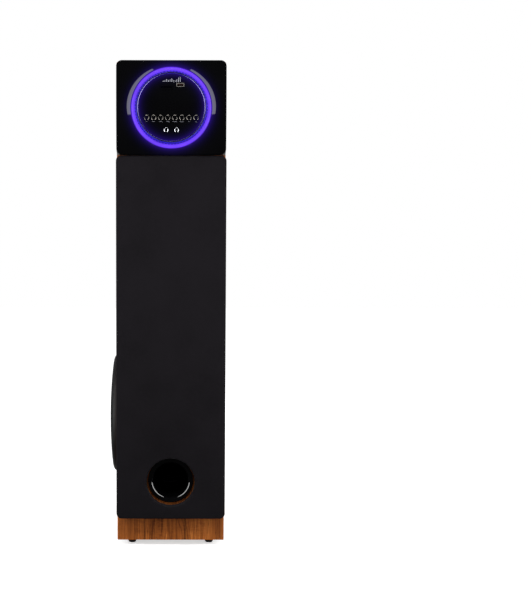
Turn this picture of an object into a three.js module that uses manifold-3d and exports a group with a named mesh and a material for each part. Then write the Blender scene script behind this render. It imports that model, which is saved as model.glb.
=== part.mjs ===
// Floorstanding active loudspeaker: wrapped wooden cabinet, side-firing bass driver under a domed
// cover, three drivers behind a pull-off cloth grille, reflex port, gloss head with a light ring and
// a control disc, and an amplifier plate at the back.
// Millimetres. X runs to the right as the front is seen, Y from front to back, Z up from the floor.
// The baffle's front face is y = 0 until the whole group is centred at the end.

import * as THREE from 'three';
import { mergeVertices } from 'three/addons/utils/BufferGeometryUtils.js';
import Module from 'manifold-3d';

const wasm = await Module();
wasm.setup();

// ---------------------------------------------------------------- driving dimensions

// Clearances
const seam = 0.3; // between two pieces that touch
const slideFit = 0.4; // round a piece that moves in a hole
const overcut = 5; // how far a cutter runs past what it cuts

// Cabinet
const cabinetWidth = 222.5;
const cabinetDepth = 306;
const cabinetHeight = 987;
const wall = 15;
const backThickness = 12;
const braceThickness = 15;
const braceAboveFloor = 425;
const braceRim = 32;

// Feet
const footHeight = 13;
const footTopRadius = 9;
const footBottomRadius = 7.5;
const footInset = 30;
const footShoulder = 0.45; // share of its height at which it is widest

// Reflex port
const portRadius = 36;
const portWall = 2.5;
const portLength = 122;
const portFlangeLap = 11; // how far the flange reaches past the bore
const portFlangeThickness = 4.5;
const portFlangeEdge = 1.5;
const portFlareRadius = 20;
const portFlareTurn = 0.32; // share of a half turn that the flare takes
const portAboveFloor = 140;

// Bass driver in the left side
const wooferAboveFloor = 256;
const wooferFlangeRadius = 122;
const wooferFlangeLap = 8; // how far the flange covers the panel round its hole
const wooferFlangeThickness = 3;
const wooferConeMargin = 18; // from the cone's edge to the panel's hole
const wooferBasketDepth = 74;
const wooferMagnetRadius = 62;
const wooferMagnetThickness = 30;
const wooferCoilRadius = 25;
const wooferConeDepth = 38;
const wooferTravel = 6;
const wooferRoll = 7;
const wooferCap = 12;
const wooferSheet = 1.2;
const wooferMetal = 2.4;
const wooferWindows = 6;

// Domed cover of the bass driver
const coverMargin = 7; // how far the cover reaches past the flange
const coverRimHeight = 10;
const coverHeight = 21.4;
const coverWall = 2.2;
const coverCrownFall = 3.2; // how far the dome falls from its middle to its rim
const coverEdgeFall = 4.2; // how far more it falls right at the rim
const coverEdgePower = 24;
const coverEdgeRound = 4;
const coverSeatStep = 1.5;

// Midrange drivers and tweeter behind the grille
const tweeterBelowGrilleTop = 205;
const midFromTweeter = 95;
const midFlangeRadius = 52;
const midSeatRadius = 46;
const midFlangeThickness = 2.5;
const midConeRadius = 36;
const midBasketDepth = 32;
const midMagnetRadius = 30;
const midMagnetThickness = 16;
const midCoilRadius = 10.5;
const midConeDepth = 16;
const midTravel = 2;
const midRoll = 3;
const midCap = 5;
const midSheet = 0.8;
const midMetal = 1.6;
const midWindows = 4;
const tweeterPlateRadius = 42;
const tweeterPlateThickness = 3;
const tweeterDomeRadius = 12.5;
const tweeterDomeHeight = 5;
const tweeterMagnetRadius = 30;
const tweeterMagnetThickness = 24;
const tweeterTravel = 0.5;
const tweeterSkin = 0.8;
const tweeterHornMargin = 1.5; // from the dome to the opening of its plate
const tweeterHornFlare = 10;
const tweeterHornDepth = 2;

// What all cone drivers share, as shares of a depth or a radius
const coilGap = 1; // millimetres on each side of the coil
const neckMargin = 2; // millimetres from the coil to the cone's neck
const capPlace = 0.62; // of the cone's depth
const capReach = 0.9; // of the cone's width at that depth
const basketShoulder = 0.14; // of the basket's depth
const windowStart = 0.3;
const windowEnd = 0.85;
const windowHalfWidth = 0.28; // of the basket's back
const windowMargin = 4; // millimetres from the coil

// Cloth grille
const grilleOverhang = 0.75; // past each side of the cabinet
const grilleHeadGap = 1.2;
const grilleBottomAboveFloor = 64;
const grilleThickness = 12.4;
const grilleStandoff = 11.3;
const grilleCornerRadius = 11;
const grilleRail = 31;
const grilleCrossBar = 20;
const grilleCrossBarAboveFloor = 432;
const grillePortMargin = 22;
const grillePortGap = 2.5; // from the port's flange to the hole in the grille
const clothThickness = 0.8;
const clothReturn = 9;
const pegRadius = 3.5;
const pegLength = 8;
const pegFromSide = 17;
const pegFromEnd = 40;

// Head
const headInset = 0.55; // from each side of the cabinet
const headTopMargin = 1.1;
const headHeight = 187.7;
const headDepthAtBottom = 27;
const headDepthAtTop = 29;
const headCrown = 5.2;
const headCornerRadius = 11.5;
const headWall = 4;
const headFrontWall = 5;
const headCrownSteps = 8;
const cableHoleRadius = 20;

// Light ring and control disc, by depth in front of the baffle
const dishWidth = 6; // from the ring to the dish's edge
const dishCurve = 1.6; // one would be a straight cone
const dishEdge = 1.5;
const ringOuterRadius = 81.5;
const ringWidth = 11.3; // from its outside to its crest
const ringCrestWidth = 1.3;
const ringOuterDepth = 24.5;
const ringBackDepth = 21;
const ringFlatRise = 2;
const ringOuterSlope = 4.5;
const ringOuterStep = 2;
const ringOuterStepRise = 1.3;
const ringInnerSlope = 4.2;
const ringInnerStep = 2.4;
const ringInnerStepRise = 1.2;
const discDepth = 32.2;
const discGap = 0.4;
const discEdge = 0.5;
const discThickness = 2.5;
const discSkirt = 3;
const trimProud = 0.5;
const trimEdge = 0.4;
const trimThickness = 0.8;
const trimWidth = 2.6;
const trimInset = 0.2; // from the ring's crest
const boardThickness = 1.6;
const wellWall = 3;
const wellFloor = 2;
const wellOpeningRadius = 60;

// Controls on the disc, placed from its centre
const buttonCount = 8;
const buttonPitch = 14.2;
const buttonDrop = 20.5;
const buttonRadius = 4.2;
const buttonLip = 0.9;
const buttonProud = 1.2;
const buttonEdge = 0.6;
const buttonLipThickness = 1;
const buttonTravel = 0.8;
const buttonStemRadius = 2;
const switchSize = 6;
const switchHeight = 2.7;
const jackSpacing = 21.2;
const jackDrop = 45.2;
const jackBoreRadius = 3.2;
const jackNutRadius = 5;
const jackBarrelRadius = 4.4;
const jackBodyRadius = 6;
const jackNutProud = 1.8;
const jackLength = 26;
const usbFromCentre = 18;
const usbRise = 44.3;
const usbBezelWidth = 16.7;
const usbBezelHeight = 7.2;
const usbOpeningWidth = 12.4;
const usbOpeningHeight = 4.8;
const usbShell = 0.7;
const cardFromCentre = -10;
const cardRise = 40;
const cardBezelWidth = 26;
const cardBezelHeight = 8.3;
const cardSlotWidth = 24.6;
const cardSlotHeight = 2.6;
const cardBodyMargin = 0.7; // above and below the slot
const cardBodyWall = 1.1; // beside the slot
const bezelThickness = 0.6;

// Amplifier at the back
const plateWidth = 150;
const plateHeight = 230;
const plateThickness = 2;
const plateAboveFloor = 235; // its middle
const plateLap = 12; // how far it covers the edge of the cut-out
const ampBoardGap = 30;
const ampBoardWidth = 110;
const ampBoardHeight = 150;
const ampBoardRise = 10;
const capacitorRadius = 11;
const capacitorHeight = 26;
const capacitorFromCentre = 28;
const capacitorDrop = 20;
const heatsinkWidth = 90;
const heatsinkHeight = 60;
const heatsinkDepth = 22;
const heatsinkFins = 7;
const heatsinkFinThickness = 2.5;
const heatsinkBase = 5;
const heatsinkDrop = 10;
const transformerWidth = 62;
const transformerDepth = 50;
const transformerHeight = 54;
const transformerFromBack = 8;
const inletWidth = 34;
const inletHeight = 24;
const inletOpeningWidth = 24.5;
const inletOpeningHeight = 16.5;
const inletDepth = 20;
const inletX = -42;
const inletDrop = 88;
const inletFlange = 2.5;
const inletWall = 1.5;
const inletBack = 2;
const inletCutMargin = 2;
const rockerWidth = 12;
const rockerHeight = 19;
const rockerThickness = 8;
const rockerBezel = 3;
const rockerTilt = 12; // degrees each side of level
const rockerPivotInset = 1.5;
const rockerTip = 1.5; // how much shorter the paddle is than its opening, at each end
const rockerWell = 4; // behind the paddle
const rockerWellFloor = 1.5;
const rockerLip = 2; // how far the bezel stands out of the plate
const rockerX = 6;
const rockerDrop = 88;
const terminalWidth = 46;
const terminalHeight = 24;
const terminalDepth = 14;
const terminalRise = 45;
const terminalWall = 3.5;
const leverThickness = 3;
const leverTravelRoom = 8;
const terminalCutInset = 3;
const lineInRise = 85;
const lineInSpacing = 20;
const lineInBarrelRadius = 4.1;
const lineInBoreRadius = 1.7;
const lineInLength = 9;
const lineInBase = 1.5;
const lineInBaseWidth = 44;
const lineInBaseHeight = 20;

// Fineness of round pieces
const largeSegments = 36;
const coneSegments = 28;
const midSegments = 18;
const smallSegments = 12;
const cornerSegments = 4;
const rollSegments = 4;

// ---------------------------------------------------------------- levels and places that follow

const cabinetBottom = footHeight;
const cabinetTop = cabinetBottom + cabinetHeight;
const halfWidth = cabinetWidth / 2;
const innerHalfWidth = halfWidth - wall;
const innerFront = wall + seam;
const innerBack = cabinetDepth - backThickness;
const headTopAboveFloor = cabinetTop - headTopMargin;
const headBottomAboveFloor = headTopAboveFloor - headHeight;
const headCentre = (headBottomAboveFloor + headTopAboveFloor) / 2;
const headWidth = cabinetWidth - 2 * headInset;
const grilleWidth = cabinetWidth + 2 * grilleOverhang;
const grilleTopAboveFloor = headBottomAboveFloor - grilleHeadGap;
const grilleFront = -(grilleStandoff + grilleThickness);
const grilleBack = -grilleStandoff;
const tweeterAboveFloor = grilleTopAboveFloor - tweeterBelowGrilleTop;
const midUpperAboveFloor = tweeterAboveFloor + midFromTweeter;
const midLowerAboveFloor = tweeterAboveFloor - midFromTweeter;
const wooferFromFront = cabinetDepth / 2;
const wooferSeatRadius = wooferFlangeRadius - wooferFlangeLap;
const wooferConeRadius = wooferSeatRadius - wooferConeMargin;
const coverRadius = wooferFlangeRadius + coverMargin;
const portFlangeRadius = portRadius + portFlangeLap;
const grillePortRadius = portFlangeRadius + grillePortGap;
const plateFace = cabinetDepth + seam + plateThickness;
const grilleCentre = (grilleTopAboveFloor + grilleBottomAboveFloor) / 2;
const grilleHeight = grilleTopAboveFloor - grilleBottomAboveFloor;
const dishRadius = ringOuterRadius + dishWidth;
const ringCrestRadius = ringOuterRadius - ringWidth;
const ringInnerRadius = ringCrestRadius - ringCrestWidth;
const trimOuterRadius = ringCrestRadius - trimInset;
const trimInnerRadius = trimOuterRadius - trimWidth;
const trimDepth = discDepth + trimProud;
const discRadius = trimInnerRadius - discGap;
const ringBack = -ringBackDepth;
const wellFloorFront = ringBack + boardThickness + 2 * seam;
const boardFront = wellFloorFront - seam - boardThickness;

// ---------------------------------------------------------------- materials

const finish = (color, roughness, metalness = 0) =>
  new THREE.MeshStandardMaterial({ color, roughness, metalness });

const finishes = {
  veneer: finish(0x96572f, 0.45),
  board: finish(0x6d5137, 0.8),
  blackPaint: finish(0x1b1b1c, 0.7),
  cloth: finish(0x17161a, 0.95),
  glossBlack: finish(0x08080a, 0.08),
  matteBlack: finish(0x141416, 0.55),
  rubber: finish(0x121212, 0.8),
  paper: finish(0x1d1d1f, 0.9),
  steel: finish(0x8d9094, 0.35, 1),
  chrome: finish(0xd5d8dd, 0.12, 1),
  aluminium: finish(0xa3a6aa, 0.4, 1),
  ferrite: finish(0x2a2a2c, 0.6),
  diffuser: finish(0x6a3cff, 0.3),
  silk: finish(0x26262a, 0.7),
  circuit: finish(0x1d5a34, 0.5),
  copper: finish(0xb0703c, 0.4, 1),
  redPlastic: finish(0xb3201c, 0.4),
};

// ---------------------------------------------------------------- solids

function signedVolume(positions, triangles) {
  let six = 0;
  for (let t = 0; t < triangles.length; t += 3) {
    const [a, b, c] = [0, 1, 2].map((k) => {
      const i = 3 * triangles[t + k];
      return new THREE.Vector3(positions[i], positions[i + 1], positions[i + 2]);
    });
    six += a.dot(b.cross(c));
  }
  return six / 6;
}

// A closed geometry as a manifold solid with its faces pointing out.
function toSolid(geometry) {
  const plain = geometry.clone();
  plain.deleteAttribute('normal');
  plain.deleteAttribute('uv');
  const merged = mergeVertices(plain, 1e-4);
  const vertProperties = new Float32Array(merged.attributes.position.array);
  let triangles = [];
  for (let t = 0; t < merged.index.count; t += 3) {
    const [a, b, c] = [0, 1, 2].map((k) => merged.index.getX(t + k));
    if (a !== b && b !== c && c !== a) triangles.push(a, b, c);
  }
  if (signedVolume(vertProperties, triangles) < 0) triangles = triangles.reverse();
  const triVerts = new Uint32Array(triangles);
  return new wasm.Manifold(new wasm.Mesh({ numProp: 3, vertProperties, triVerts }));
}

function fromSolid(solid) {
  const { vertProperties, triVerts } = solid.getMesh();
  const geometry = new THREE.BufferGeometry();
  geometry.setAttribute('position', new THREE.BufferAttribute(vertProperties, 3));
  geometry.setIndex(new THREE.BufferAttribute(triVerts, 1));
  geometry.computeVertexNormals();
  return geometry;
}

const cut = (solid, ...tools) => tools.reduce((rest, tool) => rest.subtract(tool), solid);
const join = (solid, ...others) => others.reduce((sum, other) => sum.add(other), solid);

// A box from its low and high limits along X, Y and Z.
function block([x0, x1], [y0, y1], [z0, z1]) {
  const geometry = new THREE.BoxGeometry(x1 - x0, y1 - y0, z1 - z0);
  geometry.translate((x0 + x1) / 2, (y0 + y1) / 2, (z0 + z1) / 2);
  return toSolid(geometry);
}

const axisFrames = {
  x: new THREE.Matrix4().makeBasis(
    new THREE.Vector3(0, 1, 0), new THREE.Vector3(0, 0, 1), new THREE.Vector3(1, 0, 0)),
  y: new THREE.Matrix4().makeBasis(
    new THREE.Vector3(1, 0, 0), new THREE.Vector3(0, 0, 1), new THREE.Vector3(0, 1, 0)),
  z: new THREE.Matrix4(),
};

// A flat outline extruded along an axis. Its points are (x, y) for z, (x, z) for y and (y, z) for x.
function prism(outline, axis, from, to, holes = []) {
  const shape = new THREE.Shape(outline);
  shape.holes = holes.map((points) => new THREE.Path(points));
  const geometry = new THREE.ExtrudeGeometry(shape, { depth: to - from, bevelEnabled: false });
  geometry.translate(0, 0, from);
  geometry.applyMatrix4(axisFrames[axis]);
  return toSolid(geometry);
}

// A profile of [radius, distance along the axis] pairs turned round an axis through `centre`.
function turned(profile, axis, centre, segments) {
  const points = profile.map(([radius, along]) => new THREE.Vector2(radius, along));
  const geometry = new THREE.LatheGeometry(points, segments);
  if (axis === 'x') geometry.rotateZ(-Math.PI / 2);
  if (axis === 'z') geometry.rotateX(Math.PI / 2);
  geometry.translate(...centre);
  return toSolid(geometry);
}

const closed = (profile) => [...profile, profile[0]];

function rod(radius, axis, from, to, centre, segments) {
  return turned([[0, from], [radius, from], [radius, to], [0, to]], axis, centre, segments);
}

function arcPoints(x, y, radius, start, end, steps) {
  return Array.from({ length: steps + 1 }, (_, i) => {
    const angle = start + ((end - start) * i) / steps;
    return new THREE.Vector2(x + radius * Math.cos(angle), y + radius * Math.sin(angle));
  });
}

function roundedRectangle(x, y, width, height, radius, steps = cornerSegments) {
  const [dx, dy] = [width / 2 - radius, height / 2 - radius];
  const quarter = Math.PI / 2;
  return [[1, 1], [-1, 1], [-1, -1], [1, -1]].flatMap(([sx, sy], i) =>
    arcPoints(x + sx * dx, y + sy * dy, radius, i * quarter, (i + 1) * quarter, steps));
}

// ---------------------------------------------------------------- the assembly

const speaker = new THREE.Group();

function addNode(name, solid, material) {
  const mesh = new THREE.Mesh(fromSolid(solid), material);
  mesh.name = name;
  speaker.add(mesh);
}

// ---------------------------------------------------------------- cabinet

function sidePanelOutline(side) {
  return [[halfWidth, seam], [halfWidth, cabinetDepth], [innerHalfWidth, cabinetDepth],
    [innerHalfWidth, wall + seam]].map(([x, y]) => new THREE.Vector2(side * x, y));
}

function makeSidePanels() {
  const right = prism(sidePanelOutline(1), 'z', cabinetBottom, cabinetTop);
  const cutOut = rod(wooferSeatRadius + 2 * seam, 'x', -halfWidth - overcut, -innerHalfWidth + overcut,
    [0, wooferFromFront, wooferAboveFloor], largeSegments);
  const left = cut(prism(sidePanelOutline(-1), 'z', cabinetBottom, cabinetTop), cutOut);
  addNode('side_panel_left', left, finishes.veneer);
  addNode('side_panel_right', right, finishes.veneer);
}

const pegPlaces = [-1, 1].flatMap((side) =>
  [grilleBottomAboveFloor + pegFromEnd, grilleTopAboveFloor - pegFromEnd].map((z) =>
    [side * (grilleWidth / 2 - pegFromSide), z]));

function makeFrontBaffle() {
  const outline = [[-halfWidth, 0], [halfWidth, 0], [innerHalfWidth, wall], [-innerHalfWidth, wall]];
  const plan = outline.map(([x, y]) => new THREE.Vector2(x, y));
  const through = (radius, z, segments) =>
    rod(radius, 'y', -overcut, wall + overcut, [0, 0, z], segments);
  const socket = ([x, z]) =>
    rod(pegRadius + slideFit, 'y', -overcut, pegLength + seam, [x, 0, z], smallSegments);
  const baffle = cut(
    prism(plan, 'z', cabinetBottom, cabinetTop),
    through(portRadius + portWall + seam, portAboveFloor, coneSegments),
    through(midSeatRadius + seam, midUpperAboveFloor, midSegments),
    through(midSeatRadius + seam, midLowerAboveFloor, midSegments),
    through(tweeterMagnetRadius + seam, tweeterAboveFloor, midSegments),
    through(cableHoleRadius, headCentre, midSegments),
    ...pegPlaces.map(socket),
  );
  addNode('front_baffle', baffle, finishes.veneer);
}

function makeTopAndBottom() {
  const inner = innerHalfWidth - seam;
  const level = (z) => block([-inner, inner], [innerFront, cabinetDepth], [z, z + wall]);
  addNode('bottom_panel', level(cabinetBottom), finishes.board);
  addNode('top_panel', level(cabinetTop - wall), finishes.veneer);
}

function makeBackPanel() {
  const inner = innerHalfWidth - seam;
  const halfCutWidth = plateWidth / 2 - plateLap;
  const halfCutHeight = plateHeight / 2 - plateLap;
  const panel = cut(
    block([-inner, inner], [innerBack, cabinetDepth],
      [cabinetBottom + wall + seam, cabinetTop - wall - seam]),
    block([-halfCutWidth, halfCutWidth], [innerBack - overcut, cabinetDepth + overcut],
      [plateAboveFloor - halfCutHeight, plateAboveFloor + halfCutHeight]),
  );
  addNode('back_panel', panel, finishes.blackPaint);
}

function makeBrace() {
  const inner = innerHalfWidth - seam;
  const opening = inner - braceRim;
  const top = braceAboveFloor + braceThickness;
  const brace = cut(
    block([-inner, inner], [innerFront, innerBack - seam], [braceAboveFloor, top]),
    block([-opening, opening], [innerFront + braceRim, innerBack - seam - braceRim],
      [braceAboveFloor - overcut, top + overcut]),
  );
  addNode('brace_shelf', brace, finishes.board);
}

function makeFeet() {
  const profile = [[0, 0], [footBottomRadius, 0], [footTopRadius, footHeight * footShoulder],
    [footTopRadius, footHeight - seam], [0, footHeight - seam]];
  const sides = { left: -(halfWidth - footInset), right: halfWidth - footInset };
  const ends = { front: footInset, rear: cabinetDepth - footInset };
  for (const [end, y] of Object.entries(ends)) {
    for (const [side, x] of Object.entries(sides)) {
      const foot = turned(profile, 'z', [x, y, 0], smallSegments);
      addNode(`foot_${end}_${side}`, foot, finishes.rubber);
    }
  }
}

function makePort() {
  const front = -portFlangeThickness;
  const throat = arcPoints(portRadius + portFlareRadius, portFlareRadius + front, portFlareRadius,
    Math.PI, (1 + portFlareTurn) * Math.PI, rollSegments).map((point) => [point.x, point.y]);
  const outer = portRadius + portWall;
  const profile = closed([
    [outer, -seam], [outer, portLength], [portRadius, portLength], ...throat,
    [portFlangeRadius - portFlangeEdge, front], [portFlangeRadius, front + portFlangeEdge],
    [portFlangeRadius, -seam],
  ]);
  const tube = turned(profile, 'y', [0, 0, portAboveFloor], coneSegments);
  addNode('port_tube', tube, finishes.glossBlack);
}

// ---------------------------------------------------------------- drivers

// A cone driver seen along its own axis: 0 is the panel's face and positive runs into the cabinet.
const wooferShape = {
  flangeRadius: wooferFlangeRadius, seatRadius: wooferSeatRadius,
  flangeThickness: wooferFlangeThickness, coneRadius: wooferConeRadius,
  basketDepth: wooferBasketDepth, coneDepth: wooferConeDepth, coilRadius: wooferCoilRadius,
  magnetRadius: wooferMagnetRadius, magnetThickness: wooferMagnetThickness,
  travel: wooferTravel, rollHeight: wooferRoll, capHeight: wooferCap, sheet: wooferSheet,
  metal: wooferMetal, windows: wooferWindows, segments: coneSegments,
};
const midShape = {
  flangeRadius: midFlangeRadius, seatRadius: midSeatRadius,
  flangeThickness: midFlangeThickness, coneRadius: midConeRadius,
  basketDepth: midBasketDepth, coneDepth: midConeDepth, coilRadius: midCoilRadius,
  magnetRadius: midMagnetRadius, magnetThickness: midMagnetThickness,
  travel: midTravel, rollHeight: midRoll, capHeight: midCap, sheet: midSheet,
  metal: midMetal, windows: midWindows, segments: midSegments,
};

function basketSolid(d, axis, centre) {
  const rim = d.seatRadius - 2 * d.metal;
  const back = d.basketDepth;
  const backRadius = d.magnetRadius - 2 * d.metal;
  const hole = d.coilRadius + coilGap;
  const shoulder = back * basketShoulder;
  const basket = turned(closed([
    [d.flangeRadius, -d.flangeThickness - seam], [d.flangeRadius, -seam], [d.seatRadius, -seam],
    [d.seatRadius - d.metal, shoulder], [backRadius, back], [hole, back], [hole, back - d.metal],
    [backRadius - d.metal / 2, back - d.metal], [rim, shoulder], [rim, -d.flangeThickness - seam],
  ]), axis, centre, d.segments);
  const windowFront = back * windowStart;
  const windowBack = back * windowEnd;
  const halfWindow = backRadius * windowHalfWidth;
  const windowPlace = d.seatRadius / 2 + d.coilRadius + windowMargin;
  const windows = Array.from({ length: d.windows }, (_, i) => {
    const tool = new THREE.BoxGeometry(d.seatRadius, windowBack - windowFront, 2 * halfWindow);
    tool.translate(windowPlace, (windowFront + windowBack) / 2, 0);
    tool.rotateY((2 * Math.PI * i) / d.windows);
    if (axis === 'x') tool.rotateZ(-Math.PI / 2);
    tool.translate(...centre);
    return toSolid(tool);
  });
  return cut(basket, ...windows);
}

// A half-roll between the basket's flange and the cone's edge.
function surroundSolid(d, axis, centre) {
  const seatFace = -d.flangeThickness - 2 * seam;
  const rim = d.seatRadius - 2 * d.metal;
  const middle = (rim + d.coneRadius) / 2;
  const half = (rim - d.coneRadius) / 2;
  const roll = (extra, offset) => Array.from({ length: rollSegments + 1 }, (_, i) => {
    const angle = (Math.PI * i) / rollSegments;
    const across = (half + extra) * Math.cos(angle);
    return [middle + across, offset - (d.rollHeight + extra) * Math.sin(angle)];
  });
  const outer = roll(0, seatFace - d.sheet);
  const inner = roll(-d.sheet, seatFace).reverse();
  const landing = d.sheet * 4;
  return turned(closed([
    [rim + landing, seatFace], [rim + landing, seatFace - d.sheet], ...outer,
    [d.coneRadius - landing, seatFace - d.sheet], [d.coneRadius - landing, seatFace], ...inner,
  ]), axis, centre, d.segments);
}

// A dome's profile from its crown out to its foot.
function domePoints(radius, height, foot) {
  return Array.from({ length: rollSegments + 1 }, (_, i) => {
    const angle = (Math.PI / 2) * (i / rollSegments);
    return [radius * Math.sin(angle), foot - height * Math.cos(angle)];
  });
}

// Cone, dust cap and voice coil former in one moving piece.
function coneSolid(d, axis, centre) {
  const front = -d.flangeThickness - seam;
  const neck = d.coilRadius + neckMargin;
  const depth = d.coneDepth;
  const capFoot = depth * capPlace;
  const capRadius = neck + (d.coneRadius - neck) * (1 - capPlace) * capReach;
  const capPoints = domePoints(capRadius, d.capHeight, capFoot);
  const coilEnd = d.basketDepth + d.travel;
  const coilInner = d.coilRadius - d.sheet;
  return turned([
    ...capPoints, [d.coneRadius - d.sheet * 3, front], [d.coneRadius, front],
    [d.coneRadius, front + d.sheet], [neck, depth], [d.coilRadius, depth + d.sheet],
    [d.coilRadius, coilEnd], [coilInner, coilEnd], [coilInner, depth],
    [capRadius * 0.5, capFoot - d.capHeight * 0.7], [0, capFoot - d.capHeight + d.sheet],
  ], axis, centre, d.segments);
}

function magnetSolid(d, axis, centre) {
  const front = d.basketDepth + seam;
  const back = front + d.magnetThickness;
  const gapOuter = d.coilRadius + coilGap;
  const pole = d.coilRadius - d.sheet - coilGap;
  const gapBack = d.basketDepth + 2 * d.travel + windowMargin;
  return turned([
    [0, front], [pole, front], [pole, gapBack], [gapOuter, gapBack], [gapOuter, front],
    [d.magnetRadius, front], [d.magnetRadius, back], [0, back],
  ], axis, centre, d.segments);
}

function makeConeDriver(name, shape, axis, centre) {
  addNode(`${name}_basket`, basketSolid(shape, axis, centre), finishes.matteBlack);
  addNode(`${name}_surround`, surroundSolid(shape, axis, centre), finishes.rubber);
  addNode(`${name}_cone`, coneSolid(shape, axis, centre), finishes.paper);
  addNode(`${name}_magnet`, magnetSolid(shape, axis, centre), finishes.ferrite);
}

function makeTweeter() {
  const centre = [0, 0, tweeterAboveFloor];
  const face = -tweeterPlateThickness - seam;
  const opening = tweeterDomeRadius + tweeterHornMargin;
  const plate = turned(closed([
    [tweeterPlateRadius, face + 1], [tweeterPlateRadius, -seam], [opening, -seam],
    [opening, face + tweeterHornDepth], [opening + tweeterHornFlare, face],
    [tweeterPlateRadius - 1, face],
  ]), 'y', centre, midSegments);
  const base = -seam - 1;
  const dome = turned([
    ...domePoints(tweeterDomeRadius, tweeterDomeHeight, base),
    [tweeterDomeRadius, base + 1],
    ...domePoints(tweeterDomeRadius - tweeterSkin, tweeterDomeHeight - tweeterSkin, base + 1)
      .reverse(),
  ], 'y', centre, midSegments);
  const recess = tweeterTravel + tweeterHornMargin;
  const magnet = turned([
    [0, recess], [opening, recess], [opening, 0], [tweeterMagnetRadius, 0],
    [tweeterMagnetRadius, tweeterMagnetThickness], [0, tweeterMagnetThickness],
  ], 'y', centre, midSegments);
  addNode('tweeter_plate', plate, finishes.matteBlack);
  addNode('tweeter_dome', dome, finishes.silk);
  addNode('tweeter_magnet', magnet, finishes.ferrite);
}

// The dome's height at a radius, from a flat crown that falls away fast near the rim.
function coverHeightAt(radius, outer) {
  const share = radius / outer;
  return coverHeight - coverCrownFall * share ** 2 - coverEdgeFall * share ** coverEdgePower;
}

function makeWooferCover() {
  const centre = [-halfWidth, wooferFromFront, wooferAboveFloor];
  const meshRadius = coverRadius - 4 * coverWall;
  const radii = [0, 0.3, 0.55, 0.75, 0.9, 1].map((share) => share * meshRadius);
  const outer = radii.map((radius) => [radius, -coverHeightAt(radius, coverRadius)]);
  const inner = outer.map(([radius, along]) => [radius, along + coverWall / 2]).reverse();
  const mesh = turned([...outer, ...inner], 'x', centre, largeSegments);
  const seat = -coverHeightAt(meshRadius, coverRadius);
  const innerRim = coverRadius - coverWall;
  const step = coverSeatStep;
  const round = coverEdgeRound;
  const ring = turned(closed([
    [coverRadius, -seam], [coverRadius, -coverRimHeight], [coverRadius - step, seat + 3 * step],
    [coverRadius - round, seat + step], [meshRadius + seam, seat],
    [meshRadius + seam, seat + step], [meshRadius - round, seat + step + seam],
    [meshRadius - round, seat + 2 * step + seam], [innerRim - step, seat + 4 * step],
    [innerRim, step - coverRimHeight], [innerRim, -seam],
  ]), 'x', centre, largeSegments);
  addNode('woofer_cover_ring', ring, finishes.matteBlack);
  addNode('woofer_cover_mesh', mesh, finishes.cloth);
}

// ---------------------------------------------------------------- grille

// The grille's outline, taken in on every side by `inset`.
function grilleSlab(inset, from, to) {
  const outline = roundedRectangle(0, grilleCentre, grilleWidth - 2 * inset, grilleHeight - 2 * inset,
    Math.max(grilleCornerRadius - inset, 1));
  return prism(outline, 'y', from, to);
}

function portRod(radius) {
  return rod(radius, 'y', grilleFront - overcut, grilleBack + overcut, [0, 0, portAboveFloor],
    coneSegments);
}

function makeGrilleCloth() {
  const inside = clothThickness;
  const pocket = cut(grilleSlab(inside, grilleFront + inside, grilleBack - inside),
    portRod(grillePortRadius + inside));
  const backOpening = cut(grilleSlab(clothReturn, grilleBack - 2 * inside, grilleBack + overcut),
    portRod(grillePortRadius + inside));
  const cloth = cut(grilleSlab(0, grilleFront, grilleBack), pocket, backOpening,
    portRod(grillePortRadius));
  addNode('grille_cloth', cloth, finishes.cloth);
}

function makeGrilleFrame() {
  const inset = clothThickness + seam;
  const front = grilleFront + inset;
  const back = grilleBack - inset;
  const half = grilleWidth / 2 - grilleRail;
  const solidTop = portAboveFloor + grillePortRadius + grillePortMargin;
  const barLow = grilleCrossBarAboveFloor - grilleCrossBar / 2;
  const barHigh = grilleCrossBarAboveFloor + grilleCrossBar / 2;
  const windowBetween = (low, high) =>
    block([-half, half], [front - overcut, back + overcut], [low, high]);
  const peg = ([x, z]) => rod(pegRadius, 'y', back - 1, pegLength, [x, 0, z], smallSegments);
  const frame = join(
    cut(
      grilleSlab(inset, front, back),
      windowBetween(solidTop, barLow),
      windowBetween(barHigh, grilleTopAboveFloor - grilleRail),
      portRod(grillePortRadius + inset),
    ),
    ...pegPlaces.map(peg),
  );
  addNode('grille_frame', frame, finishes.matteBlack);
}

// ---------------------------------------------------------------- head

function headDepthAt(z) {
  const share = (z - headBottomAboveFloor) / headHeight;
  const chord = headDepthAtBottom + (headDepthAtTop - headDepthAtBottom) * share;
  return chord + 4 * headCrown * share * (1 - share);
}

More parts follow.
